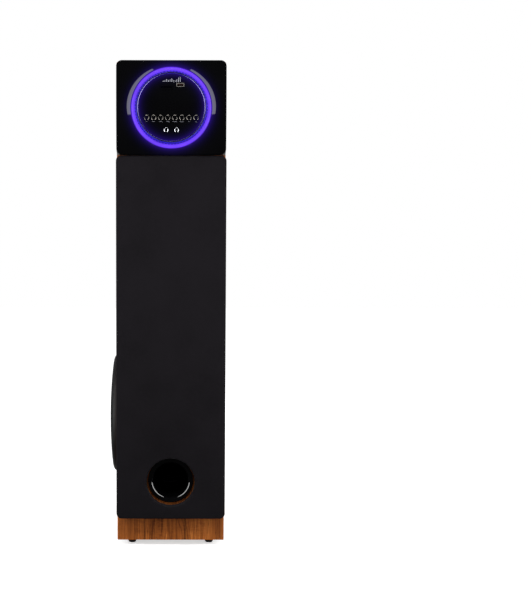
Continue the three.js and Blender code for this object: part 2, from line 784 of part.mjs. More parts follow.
// A lofted block: a sharp rectangle at the back, a rounded and crowned one at the front.
function headBlock() {
  const rounded = roundedRectangle(0, headCentre, headWidth, headHeight, headCornerRadius);
  const straightBottom = headBottomAboveFloor + headCornerRadius;
  const straightHeight = headHeight - 2 * headCornerRadius;
  const levels = Array.from({ length: headCrownSteps - 1 }, (_, i) =>
    straightBottom + (straightHeight * (i + 1)) / headCrownSteps);
  const perCorner = cornerSegments + 1;
  const upLeft = levels.slice().reverse().map((z) => new THREE.Vector2(-headWidth / 2, z));
  const upRight = levels.map((z) => new THREE.Vector2(headWidth / 2, z));
  const front = [
    ...rounded.slice(0, 2 * perCorner), ...upLeft,
    ...rounded.slice(2 * perCorner), ...upRight,
  ];
  const back = front.map((point) => {
    const onSide = Math.abs(point.y - headCentre) <= straightHeight / 2 - 1e-6;
    const z = onSide ? point.y : headCentre + (Math.sign(point.y - headCentre) * headHeight) / 2;
    return new THREE.Vector2((Math.sign(point.x) * headWidth) / 2, z);
  });
  const positions = [];
  const corner = (point, y) => [point.x, y, point.y];
  const triangle = (...corners) => positions.push(...corners.flat());
  const count = front.length;
  for (let i = 0; i < count; i += 1) {
    const j = (i + 1) % count;
    const [a, b] = [front[i], front[j]];
    const [backA, backB] = [corner(back[i], -seam), corner(back[j], -seam)];
    const [frontA, frontB] = [corner(a, -headDepthAt(a.y)), corner(b, -headDepthAt(b.y))];
    triangle(backA, frontB, frontA);
    triangle(backA, backB, frontB);
  }
  addHeadFace(triangle, front, (point) => corner(point, -headDepthAt(point.y)), false);
  addHeadFace(triangle, back, (point) => corner(point, -seam), true);
  const geometry = new THREE.BufferGeometry();
  geometry.setAttribute('position', new THREE.Float32BufferAttribute(positions, 3));
  return toSolid(geometry);
}

// Closes one end of the block with strips that run from side to side.
function addHeadFace(triangle, outline, place, flipped) {
  const count = outline.length;
  const lift = (point) => [place(point), point];
  const left = outline.filter((point) => point.x < 0).sort((a, b) => a.y - b.y || b.x - a.x).map(lift);
  const right = outline.filter((point) => point.x > 0).sort((a, b) => a.y - b.y || a.x - b.x).map(lift);
  if (left.length !== right.length || left.length + right.length !== count) {
    throw new Error('the head outline is not symmetric');
  }
  for (let i = 0; i + 1 < left.length; i += 1) {
    const [[a], [b]] = [left[i], right[i]];
    const [[c], [d]] = [right[i + 1], left[i + 1]];
    if (flipped) {
      triangle(a, c, b);
      triangle(a, d, c);
    } else {
      triangle(a, b, c);
      triangle(a, c, d);
    }
  }
}

const discCentre = [0, 0, headCentre];

function makeHeadHousing() {
  const cavity = block(
    [-headWidth / 2 + headWall, headWidth / 2 - headWall],
    [-headDepthAtBottom + headFrontWall, overcut],
    [headBottomAboveFloor + headWall, headTopAboveFloor - headWall],
  );
  const wellRadius = ringOuterRadius + seam;
  const wellBack = wellFloorFront + wellFloor;
  const well = turned(closed([
    [wellRadius + wellWall, ringBack - overcut], [wellRadius + wellWall, wellBack],
    [wellOpeningRadius, wellBack], [wellOpeningRadius, wellFloorFront],
    [wellRadius, wellFloorFront], [wellRadius, ringBack - overcut],
  ]), 'y', discCentre, largeSegments);
  const mouth = headDepthAt(headCentre) + 2;
  const opening = turned([
    [0, wellFloorFront], [wellRadius, wellFloorFront], [wellRadius, -ringOuterDepth],
    ...dishWall(), [dishRadius + dishEdge, -mouth], [0, -mouth],
  ], 'y', discCentre, largeSegments);
  const floorOpening = rod(wellOpeningRadius, 'y', wellFloorFront - 1, wellBack + 1, discCentre,
    largeSegments);
  const housing = cut(join(cut(headBlock(), cavity), well), opening, floorOpening);
  addNode('head_housing', housing, finishes.glossBlack);
}

// The concave wall between the ring's edge and the head's face.
function dishWall() {
  const wellRadius = ringOuterRadius + seam;
  const face = headDepthAt(headCentre);
  const rise = face - ringOuterDepth;
  return Array.from({ length: rollSegments }, (_, i) => {
    const share = (i + 1) / rollSegments;
    const across = wellRadius + (dishRadius - wellRadius) * share;
    return [across, -(ringOuterDepth + rise * share ** dishCurve)];
  });
}

function makeLightRing() {
  const crest = -(trimDepth - trimThickness - seam);
  const ring = turned(closed([
    [ringOuterRadius, ringBack], [ringOuterRadius, -ringOuterDepth],
    [ringOuterRadius - ringOuterStep, -ringOuterDepth - ringOuterStepRise],
    [ringOuterRadius - ringOuterSlope, -ringOuterDepth - ringFlatRise],
    [ringCrestRadius + ringInnerSlope, -ringOuterDepth - ringFlatRise],
    [ringCrestRadius + ringInnerStep, -ringOuterDepth - ringInnerStepRise],
    [ringCrestRadius, crest], [ringInnerRadius, crest], [ringInnerRadius, ringBack],
  ]), 'y', discCentre, largeSegments);
  addNode('light_ring', ring, finishes.diffuser);
  const back = -trimDepth + trimThickness;
  const trim = turned(closed([
    [trimInnerRadius, back], [trimOuterRadius, back], [trimOuterRadius - trimEdge, -trimDepth],
    [trimInnerRadius + trimEdge, -trimDepth],
  ]), 'y', discCentre, largeSegments);
  addNode('trim_ring', trim, finishes.chrome);
  const lightBoard = turned(closed([
    [ringInnerRadius + 1, boardFront], [ringOuterRadius - 1, boardFront],
    [ringOuterRadius - 1, boardFront + boardThickness],
    [ringInnerRadius + 1, boardFront + boardThickness],
  ]), 'y', discCentre, largeSegments);
  addNode('light_board', lightBoard, finishes.circuit);
}

const buttonPlaces = Array.from({ length: buttonCount }, (_, i) =>
  [(i - (buttonCount - 1) / 2) * buttonPitch, headCentre - buttonDrop]);
const jackPlaces = [-1, 1].map((side) => [(side * jackSpacing) / 2, headCentre - jackDrop]);
const usbPlace = [usbFromCentre, headCentre + usbRise];
const cardPlace = [cardFromCentre, headCentre + cardRise];

function plug([x, z], width, height, from, to) {
  return block([x - width / 2, x + width / 2], [from, to], [z - height / 2, z + height / 2]);
}

function makeControlDisc() {
  const face = -discDepth;
  const back = face + discThickness;
  const disc = turned([
    [0, face], [discRadius - discEdge, face], [discRadius, face + discEdge],
    [discRadius, boardFront],
    [discRadius - discSkirt, boardFront], [discRadius - discSkirt, back], [0, back],
  ], 'y', discCentre, largeSegments);
  const round = (radius) => ([x, z]) =>
    rod(radius, 'y', face - overcut, back + overcut, [x, 0, z], smallSegments);
  const usbWidth = usbOpeningWidth + 2 * usbShell + 2 * seam;
  const usbHeight = usbOpeningHeight + 2 * usbShell + 2 * seam;
  const cardWidth = cardSlotWidth - 2 * seam;
  const drilled = cut(
    disc,
    ...buttonPlaces.map(round(buttonRadius + slideFit)),
    ...jackPlaces.map(round(jackBarrelRadius + seam)),
    plug(usbPlace, usbWidth, usbHeight, face - overcut, back + overcut),
    plug(cardPlace, cardWidth, cardSlotHeight + 2 * cardBodyMargin + 2 * seam, face - overcut,
      back + overcut),
  );
  addNode('control_disc', drilled, finishes.glossBlack);
}

function makeButtons() {
  const face = -discDepth - buttonProud;
  const lipFront = -discDepth + discThickness + seam;
  const lipBack = lipFront + buttonLipThickness;
  const stemEnd = boardFront - switchHeight - seam - buttonTravel;
  const profile = [
    [0, face], [buttonRadius - buttonEdge, face], [buttonRadius, face + buttonEdge],
    [buttonRadius, lipFront], [buttonRadius + buttonLip, lipFront],
    [buttonRadius + buttonLip, lipBack], [buttonStemRadius, lipBack],
    [buttonStemRadius, stemEnd], [0, stemEnd],
  ];
  buttonPlaces.forEach(([x, z], i) => {
    const button = turned(profile, 'y', [x, 0, z], smallSegments);
    addNode(`button_${i + 1}`, button, finishes.chrome);
  });
}

function makeControlBoard() {
  const radius = discRadius - discSkirt - 1;
  const board = rod(radius, 'y', boardFront, boardFront + boardThickness, discCentre, largeSegments);
  const passage = ([x, z]) => rod(jackBodyRadius + seam, 'y', boardFront - overcut,
    boardFront + overcut, [x, 0, z], smallSegments);
  const tact = (place) =>
    plug(place, switchSize, switchSize, boardFront - switchHeight, boardFront + boardThickness / 2);
  const built = join(cut(board, ...jackPlaces.map(passage)), ...buttonPlaces.map(tact));
  addNode('control_board', built, finishes.circuit);
}

function makeSockets() {
  const face = -discDepth;
  const behind = face + discThickness + seam;
  const nutFront = face - seam - jackNutProud;
  const jackProfile = closed([
    [jackBoreRadius, nutFront], [jackNutRadius, nutFront], [jackNutRadius, face - seam],
    [jackBarrelRadius, face - seam], [jackBarrelRadius, behind], [jackBodyRadius, behind],
    [jackBodyRadius, nutFront + jackLength], [jackBoreRadius, nutFront + jackLength],
  ]);
  jackPlaces.forEach(([x, z], i) => {
    const jack = turned(jackProfile, 'y', [x, 0, z], smallSegments + 4);
    addNode(i === 0 ? 'microphone_jack_left' : 'microphone_jack_right', jack, finishes.steel);
  });

  const bezelFront = face - seam - bezelThickness;
  const shellWidth = usbOpeningWidth + 2 * usbShell;
  const shellHeight = usbOpeningHeight + 2 * usbShell;
  const usbBack = boardFront - seam;
  const usb = cut(
    join(
      plug(usbPlace, usbBezelWidth, usbBezelHeight, bezelFront, face - seam),
      plug(usbPlace, shellWidth, shellHeight, face - 2 * seam, usbBack),
    ),
    plug(usbPlace, usbOpeningWidth, usbOpeningHeight, bezelFront - overcut, usbBack - usbShell),
  );
  addNode('usb_port', usb, finishes.steel);

  const pocket = (width, height, from, to) => plug(cardPlace, width, height, from, to);
  const cardBody = cut(
    join(
      pocket(cardBezelWidth, cardBezelHeight, bezelFront, face - seam),
      pocket(cardSlotWidth - 4 * seam, cardSlotHeight + 2 * cardBodyMargin, face - 2 * seam, usbBack),
    ),
    pocket(cardSlotWidth - 2 * cardBodyWall, cardSlotHeight, bezelFront - overcut,
      usbBack - usbShell),
  );
  addNode('card_slot', cardBody, finishes.matteBlack);
}

// ---------------------------------------------------------------- amplifier at the back

const rockerPivotY = plateFace - rockerPivotInset;
const terminalCentre = plateAboveFloor + terminalRise;
const lineInCentre = plateAboveFloor + lineInRise;
const inletCentre = plateAboveFloor - inletDrop;
const rockerCentre = plateAboveFloor - rockerDrop;
const leverHeight = terminalHeight - 2 * terminalWall - 2 * seam;
const leverWidth = terminalWidth / 2 - 1.5 * terminalWall - 2 * seam;
const leverOffset = terminalWidth / 4 - terminalWall / 4;

function makeAmplifierPlate() {
  const backFace = cabinetDepth + seam;
  const through = (x, z, width, height) =>
    plug([x, z], width, height, backFace - overcut, plateFace + overcut);
  const plate = cut(
    plug([0, plateAboveFloor], plateWidth, plateHeight, backFace, plateFace),
    through(inletX, inletCentre, inletOpeningWidth + 2 * inletCutMargin,
      inletOpeningHeight + 2 * inletCutMargin),
    through(rockerX, rockerCentre, rockerWidth + 2 * rockerBezel, rockerHeight + 2 * rockerBezel),
    through(0, terminalCentre, terminalWidth - 2 * terminalCutInset,
      terminalHeight - 2 * terminalCutInset),
    through(-lineInSpacing / 2, lineInCentre, 2 * lineInBarrelRadius, 2 * lineInBarrelRadius),
    through(lineInSpacing / 2, lineInCentre, 2 * lineInBarrelRadius, 2 * lineInBarrelRadius),
  );
  addNode('amplifier_plate', plate, finishes.blackPaint);
}

function makeInlet() {
  const front = plateFace + seam;
  const place = [inletX, inletCentre];
  const backEnd = plateFace - inletDepth;
  const bodyWidth = inletOpeningWidth + 2 * inletWall;
  const bodyHeight = inletOpeningHeight + 2 * inletWall;
  const inlet = cut(
    join(
      plug(place, inletWidth, inletHeight, front, front + inletFlange),
      plug(place, bodyWidth, bodyHeight, backEnd, front + seam),
    ),
    plug(place, inletOpeningWidth, inletOpeningHeight, backEnd + inletBack,
      front + inletFlange + overcut),
  );
  addNode('mains_inlet', inlet, finishes.matteBlack);
}

function makeRocker() {
  const place = [rockerX, rockerCentre];
  const back = plateFace - rockerThickness - rockerWell;
  const outerWidth = rockerWidth + 2 * rockerBezel - 2 * seam;
  const outerHeight = rockerHeight + 2 * rockerBezel - 2 * seam;
  const lip = rockerBezel / 2;
  const bezel = cut(
    join(
      plug(place, outerWidth + 2 * lip, outerHeight + 2 * lip, plateFace + seam,
        plateFace + rockerLip),
      plug(place, outerWidth, outerHeight, back, plateFace + rockerLip / 2),
    ),
    plug(place, rockerWidth + 2 * slideFit, rockerHeight + 2 * slideFit + 1,
      back + rockerWellFloor, plateFace + overcut),
  );
  addNode('rocker_bezel', bezel, finishes.matteBlack);
  const half = rockerHeight / 2;
  const crown = rockerThickness / 2;
  const rise = half * Math.tan(THREE.MathUtils.degToRad(rockerTilt));
  const tip = half - rockerTip;
  const outline = [[0, -half], [crown + rise, -tip], [crown, 0], [crown + rise, tip], [0, half],
    [-crown / 2, 0]];
  const shape = new THREE.Shape(outline.map(([y, z]) => new THREE.Vector2(y, z)));
  const paddle = new THREE.ExtrudeGeometry(shape, { depth: rockerWidth, bevelEnabled: false });
  paddle.translate(0, 0, -rockerWidth / 2);
  paddle.applyMatrix4(axisFrames.x);
  paddle.rotateX(THREE.MathUtils.degToRad(-rockerTilt));
  paddle.translate(rockerX, rockerPivotY, rockerCentre);
  addNode('power_rocker', toSolid(paddle), finishes.redPlastic);
}

function makeTerminals() {
  const back = plateFace + seam;
  const front = back + terminalDepth;
  const slotWidth = leverWidth + 2 * slideFit;
  const slotHeight = leverHeight + 2 * slideFit;
  const slots = [-1, 1].map((side) => plug([side * leverOffset, terminalCentre], slotWidth,
    slotHeight, front - leverThickness - leverTravelRoom, front + overcut));
  const body = plug([0, terminalCentre], terminalWidth, terminalHeight, back, front);
  addNode('terminal_block', cut(body, ...slots), finishes.matteBlack);
  const names = { terminal_lever_black: -1, terminal_lever_red: 1 };
  for (const [name, side] of Object.entries(names)) {
    const lever = plug([side * leverOffset, terminalCentre], leverWidth, leverHeight,
      front - leverThickness, front);
    addNode(name, lever, side > 0 ? finishes.redPlastic : finishes.matteBlack);
  }
}

function makeLineInputs() {
  const back = plateFace + seam;
  const front = back + lineInBase;
  const barrels = [-1, 1].map((side) => rod(lineInBarrelRadius, 'y', back, front + lineInLength,
    [(side * lineInSpacing) / 2, 0, lineInCentre], smallSegments));
  const bores = [-1, 1].map((side) => rod(lineInBoreRadius, 'y', front, front + lineInLength + 1,
    [(side * lineInSpacing) / 2, 0, lineInCentre], smallSegments));
  const base = plug([0, lineInCentre], lineInBaseWidth, lineInBaseHeight, back, front);
  addNode('line_input_sockets', cut(join(base, ...barrels), ...bores), finishes.matteBlack);
}

function makeAmplifier() {
  const plateBack = cabinetDepth + seam;
  const sinkCentre = plateAboveFloor - heatsinkDrop;
  const sinkBack = plateBack - seam;
  const sinkFront = sinkBack - heatsinkDepth;
  const base = plug([0, sinkCentre], heatsinkWidth, heatsinkHeight, sinkBack - heatsinkBase, sinkBack);
  const finPitch = (heatsinkWidth - heatsinkFinThickness) / (heatsinkFins - 1);
  const fins = Array.from({ length: heatsinkFins }, (_, i) => plug(
    [(i - (heatsinkFins - 1) / 2) * finPitch, sinkCentre], heatsinkFinThickness, heatsinkHeight,
    sinkFront, sinkBack - heatsinkBase / 2));
  addNode('heatsink', join(base, ...fins), finishes.aluminium);

  const boardBack = plateBack - ampBoardGap;
  const board = plug([0, plateAboveFloor + ampBoardRise], ampBoardWidth, ampBoardHeight,
    boardBack - boardThickness, boardBack);
  const capacitors = [-1, 1].map((side) => rod(capacitorRadius, 'y',
    boardBack - capacitorHeight, boardBack - 1,
    [side * capacitorFromCentre, 0, plateAboveFloor - capacitorDrop], smallSegments));
  addNode('amplifier_board', join(board, ...capacitors), finishes.circuit);
}

function makeTransformer() {
  const floor = cabinetBottom + wall + seam;
  const y = innerBack - transformerFromBack - transformerDepth / 2;
  const core = block([-transformerWidth / 2, transformerWidth / 2],
    [y - transformerDepth / 4, y + transformerDepth / 4], [floor, floor + transformerHeight]);
  const winding = block([-transformerWidth / 3, transformerWidth / 3],
    [y - transformerDepth / 2, y + transformerDepth / 2],
    [floor + transformerHeight / 6, floor + (transformerHeight * 5) / 6]);
  addNode('transformer', join(core, winding), finishes.steel);
}

// ---------------------------------------------------------------- build

makeSidePanels();
makeFrontBaffle();
makeTopAndBottom();
makeBackPanel();
makeBrace();
makeFeet();
makePort();
makeConeDriver('woofer', wooferShape, 'x', [-halfWidth, wooferFromFront, wooferAboveFloor]);
makeWooferCover();
makeConeDriver('mid_upper', midShape, 'y', [0, 0, midUpperAboveFloor]);
makeConeDriver('mid_lower', midShape, 'y', [0, 0, midLowerAboveFloor]);
makeTweeter();
makeGrilleFrame();
makeGrilleCloth();
makeHeadHousing();
makeLightRing();
makeControlDisc();
makeButtons();
makeControlBoard();
makeSockets();
makeAmplifierPlate();
makeInlet();
makeRocker();
makeTerminals();
makeLineInputs();
makeAmplifier();
makeTransformer();

// The origin is on the floor, at the middle of the footprint.
const bounds = new THREE.Box3().setFromObject(speaker);
const middle = bounds.getCenter(new THREE.Vector3());
speaker.position.set(-middle.x, -middle.y, -bounds.min.z);

export default speaker;
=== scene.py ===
"""Looks of a floorstanding active loudspeaker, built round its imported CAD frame.

A cabinet in folded printed vinyl, a pull-off cloth grille over three small drivers, a reflex port,
a gloss head with a light ring and a control disc, a bass driver under a domed steel mesh on the
left side, and an amplifier plate at the back. Metres, in the frame's own axes: -Y is the front.
"""

import logging
import math
from dataclasses import dataclass
from enum import Enum
from typing import Callable, Iterable, Sequence

import bpy
from mathutils import Matrix, Vector


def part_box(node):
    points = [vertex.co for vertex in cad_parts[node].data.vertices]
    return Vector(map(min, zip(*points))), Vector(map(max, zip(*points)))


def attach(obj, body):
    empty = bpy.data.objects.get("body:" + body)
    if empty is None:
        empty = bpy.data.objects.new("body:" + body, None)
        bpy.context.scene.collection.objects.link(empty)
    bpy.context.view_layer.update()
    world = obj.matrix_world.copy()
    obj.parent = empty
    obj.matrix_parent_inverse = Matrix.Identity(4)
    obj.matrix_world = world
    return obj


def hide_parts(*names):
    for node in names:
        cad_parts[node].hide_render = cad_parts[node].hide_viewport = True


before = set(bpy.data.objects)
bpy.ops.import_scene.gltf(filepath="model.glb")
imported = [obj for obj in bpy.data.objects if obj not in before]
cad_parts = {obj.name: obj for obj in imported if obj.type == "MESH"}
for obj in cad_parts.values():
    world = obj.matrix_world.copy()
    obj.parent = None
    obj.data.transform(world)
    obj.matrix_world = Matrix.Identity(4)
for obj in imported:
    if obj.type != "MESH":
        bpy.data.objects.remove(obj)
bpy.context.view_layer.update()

LOG = logging.getLogger("speaker")
MM = 0.001
FRONT = Vector((0.0, -1.0, 0.0))
BACK = Vector((0.0, 1.0, 0.0))
LEFT = Vector((-1.0, 0.0, 0.0))
UP = Vector((0.0, 0.0, 1.0))
# Points nearer to each other than this are one point.
MERGE = 1e-5
# How far a cutting tool runs past what it cuts.
OVERRUN = 5.0 * MM
# Faces that meet at less than this are shaded as one.
SMOOTH_ANGLE = math.radians(32.0)
WHITE = (1.0, 1.0, 1.0, 1.0)
# Where the grille's pegs stand, from the middle and from the ground, in millimetres.
PEG_STEPS = (-95.0, 95.0)
PEG_HEIGHTS = (104.0, 770.0)

Profile = Sequence[tuple[float, float]]


# ------------------------------------------------------------------ small tools for materials


def linear(colour: str) -> tuple[float, float, float, float]:
    """Turns an sRGB hex colour to linear light.

    Args:
        colour: Six hex digits, such as "b4703f".

    Returns:
        The linear red, green, blue and an alpha of one.
    """
    parts = [int(colour[i:i + 2], 16) / 255.0 for i in (0, 2, 4)]
    bent = [p / 12.92 if p <= 0.04045 else ((p + 0.055) / 1.055) ** 2.4 for p in parts]
    return (bent[0], bent[1], bent[2], 1.0)


def add_node(tree: bpy.types.NodeTree, kind: str, settings: dict | None = None,
             inputs: dict | None = None) -> bpy.types.Node:
    """Adds one node to a tree, sets it up and links it.

    Args:
        tree: The node tree.
        kind: The node's Blender type.
        settings: Attributes of the node, by name.
        inputs: Values or sockets for its inputs, by name or number.

    Returns:
        The new node.
    """
    node = tree.nodes.new(kind)
    for name, value in (settings or {}).items():
        setattr(node, name, value)
    for name, value in (inputs or {}).items():
        if isinstance(value, bpy.types.NodeSocket):
            tree.links.new(value, node.inputs[name])
        else:
            node.inputs[name].default_value = value
    return node


def set_stops(ramp: bpy.types.Node, stops: Sequence[tuple[float, tuple]],
              steps: bool = False) -> None:
    """Fills a colour ramp.

    Args:
        ramp: The colour ramp node.
        stops: Pairs of place and linear colour, in rising order.
        steps: Whether the ramp jumps from stop to stop.
    """
    elements = ramp.color_ramp.elements
    ramp.color_ramp.interpolation = "CONSTANT" if steps else "LINEAR"
    for place, colour in stops[2:]:
        elements.new(place).color = colour
    for element, (place, colour) in zip(elements, stops):
        element.position = place
        element.color = colour


def grey(level: float) -> tuple[float, float, float, float]:
    """A linear grey of one level."""
    return (level, level, level, 1.0)


# ------------------------------------------------------------------ finishes


@dataclass(frozen=True)
class Finish:
    """A finish that has one colour, with a faint mottle, a roughness that wanders and a fine grain.

    grain_mm is the size of the surface's grain, mottle the share by which the colour wanders, and
    relief_mm how deep the grain goes.
    """

    name: str
    colour: str
    roughness: float = 0.5
    metallic: float = 0.0
    ior: float = 1.5
    sheen: float = 0.0
    grain_mm: float = 0.6
    mottle: float = 0.15
    relief_mm: float = 0.03
    wander: float = 0.12

    def material(self) -> bpy.types.Material:
        """The Blender material of this finish, made the first time it is asked for."""
        known = bpy.data.materials.get(self.name)
        if known is not None:
            return known
        material = bpy.data.materials.new(self.name)
        material.use_nodes = True
        tree = material.node_tree
        shader = tree.nodes["Principled BSDF"]
        shader.inputs["Base Color"].default_value = linear(self.colour)
        shader.inputs["Roughness"].default_value = self.roughness
        shader.inputs["Metallic"].default_value = self.metallic
        if self.metallic < 0.5:
            shader.inputs["IOR"].default_value = self.ior
        shader.inputs["Sheen Weight"].default_value = self.sheen
        shader.inputs["Sheen Roughness"].default_value = 0.4
        place = add_node(tree, "ShaderNodeTexCoord").outputs["Object"]
        self.dress(tree, shader, place)
        return material

    def dress(self, tree: bpy.types.NodeTree, shader: bpy.types.Node,
              place: bpy.types.NodeSocket) -> None:
        """Draws the finish's pattern.

        Args:
            tree: The material's tree.
            shader: Its principled shader.
            place: The object coordinate.
        """
        blotch = add_node(tree, "ShaderNodeTexNoise", {}, {
            "Vector": place, "Scale": 1.0 / (28.0 * self.grain_mm * MM), "Detail": 3.0})
        base = linear(self.colour)
        tint = add_node(tree, "ShaderNodeValToRGB", {}, {"Fac": blotch.outputs["Fac"]})
        dark = tuple(c * (1.0 - self.mottle) for c in base[:3]) + (1.0,)
        light = tuple(c * (1.0 + self.mottle) for c in base[:3]) + (1.0,)
        set_stops(tint, [(0.3, dark), (0.7, light)])
        tree.links.new(tint.outputs["Color"], shader.inputs["Base Color"])
        grain = add_node(tree, "ShaderNodeTexNoise", {}, {
            "Vector": place, "Scale": 1.0 / (self.grain_mm * MM), "Detail": 2.0})
        rough = add_node(tree, "ShaderNodeMapRange", {}, {
            "Value": blotch.outputs["Fac"], "From Min": 0.3, "From Max": 0.7,
            "To Min": self.roughness * (1.0 - self.wander),
            "To Max": min(1.0, self.roughness * (1.0 + self.wander))})
        tree.links.new(rough.outputs["Result"], shader.inputs["Roughness"])
        bump = add_node(tree, "ShaderNodeBump", {}, {
            "Height": grain.outputs["Fac"], "Distance": self.relief_mm * MM, "Strength": 0.6})
        tree.links.new(bump.outputs["Normal"], shader.inputs["Normal"])


class Grain(Enum):
    """Which way the printed grain runs: up the folded sides, or from front to back on the top."""

    UPRIGHT = "upright"
    FRONT_TO_BACK = "front_to_back"


@dataclass(frozen=True)
class PrintedVeneer(Finish):
    """Walnut-brown wood print on PVC foil, satin. The foil folds round the corners, so the print
    runs on from the front to the sides. It is laid out as boards side by side, each with its own
    tone, long soft streaks, arched growth lines, short pores and a cross ripple."""

    grain_way: Grain = Grain.UPRIGHT
    corner_x: float = 0.0
    front_y: float = 0.0
    board_edges_mm: tuple[float, ...] = (-338.0, -243.0, -139.0, -54.0, 30.0, 128.0, 214.0, 322.0)
    board_tones: tuple[float, ...] = (0.46, 0.62, 0.38, 0.56, 0.44, 0.52, 0.66, 0.40, 0.55)
    dark: str = "63300f"
    middle: str = "b36428"
    light: str = "dc9148"
    pore: str = "2e1406"

    def dress(self, tree: bpy.types.NodeTree, shader: bpy.types.Node,
              place: bpy.types.NodeSocket) -> None:
        """Draws the wood print.

        Args:
            tree: The material's tree.
            shader: Its principled shader.
            place: The object coordinate.
        """
        across, along = self.unfold(tree, place)
        board = self.board_value(tree, across)
        shifted = add_node(tree, "ShaderNodeMath", {"operation": "MULTIPLY_ADD"}, {
            0: board, 1: 3.7, 2: along}).outputs[0]
        flat = add_node(tree, "ShaderNodeCombineXYZ", {}, {"X": across, "Y": shifted}).outputs[0]

        def streaks(width_mm: float, length_mm: float, detail: float) -> bpy.types.NodeSocket:
            """Noise drawn out along the grain."""
            size = (1000.0 / width_mm, 1000.0 / length_mm, 1.0)
            stretched = add_node(tree, "ShaderNodeVectorMath", {"operation": "MULTIPLY"}, {
                0: flat, 1: size}).outputs[0]
            noise = add_node(tree, "ShaderNodeTexNoise", {"noise_dimensions": "2D"}, {
                "Vector": stretched, "Scale": 1.0, "Detail": detail, "Roughness": 0.6})
            return noise.outputs["Fac"]

        bands = streaks(22.0, 420.0, 3.0)
        lines = streaks(3.4, 170.0, 4.0)
        arches = self.arches(tree, across, shifted, streaks(60.0, 260.0, 2.0))
        pores = streaks(1.1, 22.0, 2.0)
        ripple = streaks(15.0, 5.0, 3.0)
        ripple_share = streaks(55.0, 210.0, 1.0)

        tone = add_node(tree, "ShaderNodeMath", {"operation": "MULTIPLY_ADD"}, {
            0: bands, 1: 0.62, 2: add_node(tree, "ShaderNodeMath", {"operation": "MULTIPLY_ADD"}, {
                0: board, 1: 0.34, 2: -0.08}).outputs[0]}).outputs[0]
        tone = add_node(tree, "ShaderNodeMath", {"operation": "MULTIPLY_ADD"}, {
            0: lines, 1: 0.7, 2: add_node(tree, "ShaderNodeMath", {"operation": "SUBTRACT"}, {
                0: tone, 1: 0.35}).outputs[0]}).outputs[0]
        tone = add_node(tree, "ShaderNodeMath", {"operation": "SUBTRACT"}, {
            0: tone, 1: arches}).outputs[0]
        cross = add_node(tree, "ShaderNodeMapRange", {}, {
            "Value": ripple_share, "From Min": 0.44, "From Max": 0.62,
            "To Min": 0.05, "To Max": 0.5})
        centred = add_node(tree, "ShaderNodeMath", {"operation": "SUBTRACT"}, {
            0: ripple, 1: 0.5}).outputs[0]
        tone = add_node(tree, "ShaderNodeMath", {"operation": "MULTIPLY_ADD"}, {
            0: centred, 1: cross.outputs["Result"], 2: tone}).outputs[0]
        colour = add_node(tree, "ShaderNodeValToRGB", {}, {"Fac": tone})
        set_stops(colour, [(0.12, linear(self.dark)), (0.5, linear(self.middle)),
                           (0.85, linear(self.light))])
        pore_mask = add_node(tree, "ShaderNodeMapRange", {}, {
            "Value": pores, "From Min": 0.62, "From Max": 0.74, "To Min": 0.0, "To Max": 0.75})
        seams = self.board_seams(tree, across)
        ink = add_node(tree, "ShaderNodeMath", {"operation": "MAXIMUM"}, {
            0: pore_mask.outputs["Result"], 1: seams}).outputs[0]
        inked = add_node(tree, "ShaderNodeMix", {"data_type": "RGBA"}, {
            "Factor": ink, "A": colour.outputs["Color"], "B": linear(self.pore)})
        tree.links.new(inked.outputs["Result"], shader.inputs["Base Color"])
        rough = add_node(tree, "ShaderNodeMapRange", {}, {
            "Value": lines, "From Min": 0.3, "From Max": 0.7,
            "To Min": self.roughness - 0.05, "To Max": self.roughness + 0.07})
        tree.links.new(rough.outputs["Result"], shader.inputs["Roughness"])
        bump = add_node(tree, "ShaderNodeBump", {"invert": True}, {
            "Height": ink, "Distance": self.relief_mm * MM, "Strength": 0.5})
        tree.links.new(bump.outputs["Normal"], shader.inputs["Normal"])

    def unfold(self, tree: bpy.types.NodeTree, place: bpy.types.NodeSocket
               ) -> tuple[bpy.types.NodeSocket, bpy.types.NodeSocket]:
        """Lays the folded foil out flat.

        Args:
            tree: The material's tree.
            place: The object coordinate.

        Returns:
            How far a point is across the foil from the middle of the front, and how far along it.
        """
        moved = add_node(tree, "ShaderNodeVectorMath", {"operation": "SUBTRACT"}, {
            0: place, 1: (self.corner_x, self.front_y, 0.0)}).outputs[0]
        parts = add_node(tree, "ShaderNodeSeparateXYZ", {}, {0: moved})
        if self.grain_way is Grain.FRONT_TO_BACK:
            return parts.outputs["X"], parts.outputs["Y"]
        side = add_node(tree, "ShaderNodeMath", {"operation": "SIGN"}, {0: parts.outputs["X"]})
        across = add_node(tree, "ShaderNodeMath", {"operation": "MULTIPLY_ADD"}, {
            0: side.outputs[0], 1: parts.outputs["Y"], 2: parts.outputs["X"]})
        return across.outputs[0], parts.outputs["Z"]

    def board_value(self, tree: bpy.types.NodeTree,
                    across: bpy.types.NodeSocket) -> bpy.types.NodeSocket:
        """One tone for each printed board.

        Args:
            tree: The material's tree.
            across: How far across the foil, in metres.

        Returns:
            A value that stays level over each board.
        """
        reach = 450.0
        share = add_node(tree, "ShaderNodeMapRange", {}, {
            "Value": across, "From Min": -reach * MM, "From Max": reach * MM})
        ramp = add_node(tree, "ShaderNodeValToRGB", {}, {"Fac": share.outputs["Result"]})
        places = [0.0] + [(edge + reach) / (2.0 * reach) for edge in self.board_edges_mm]
        set_stops(ramp, [(p, grey(t)) for p, t in zip(places, self.board_tones)], steps=True)
        return ramp.outputs["Color"]

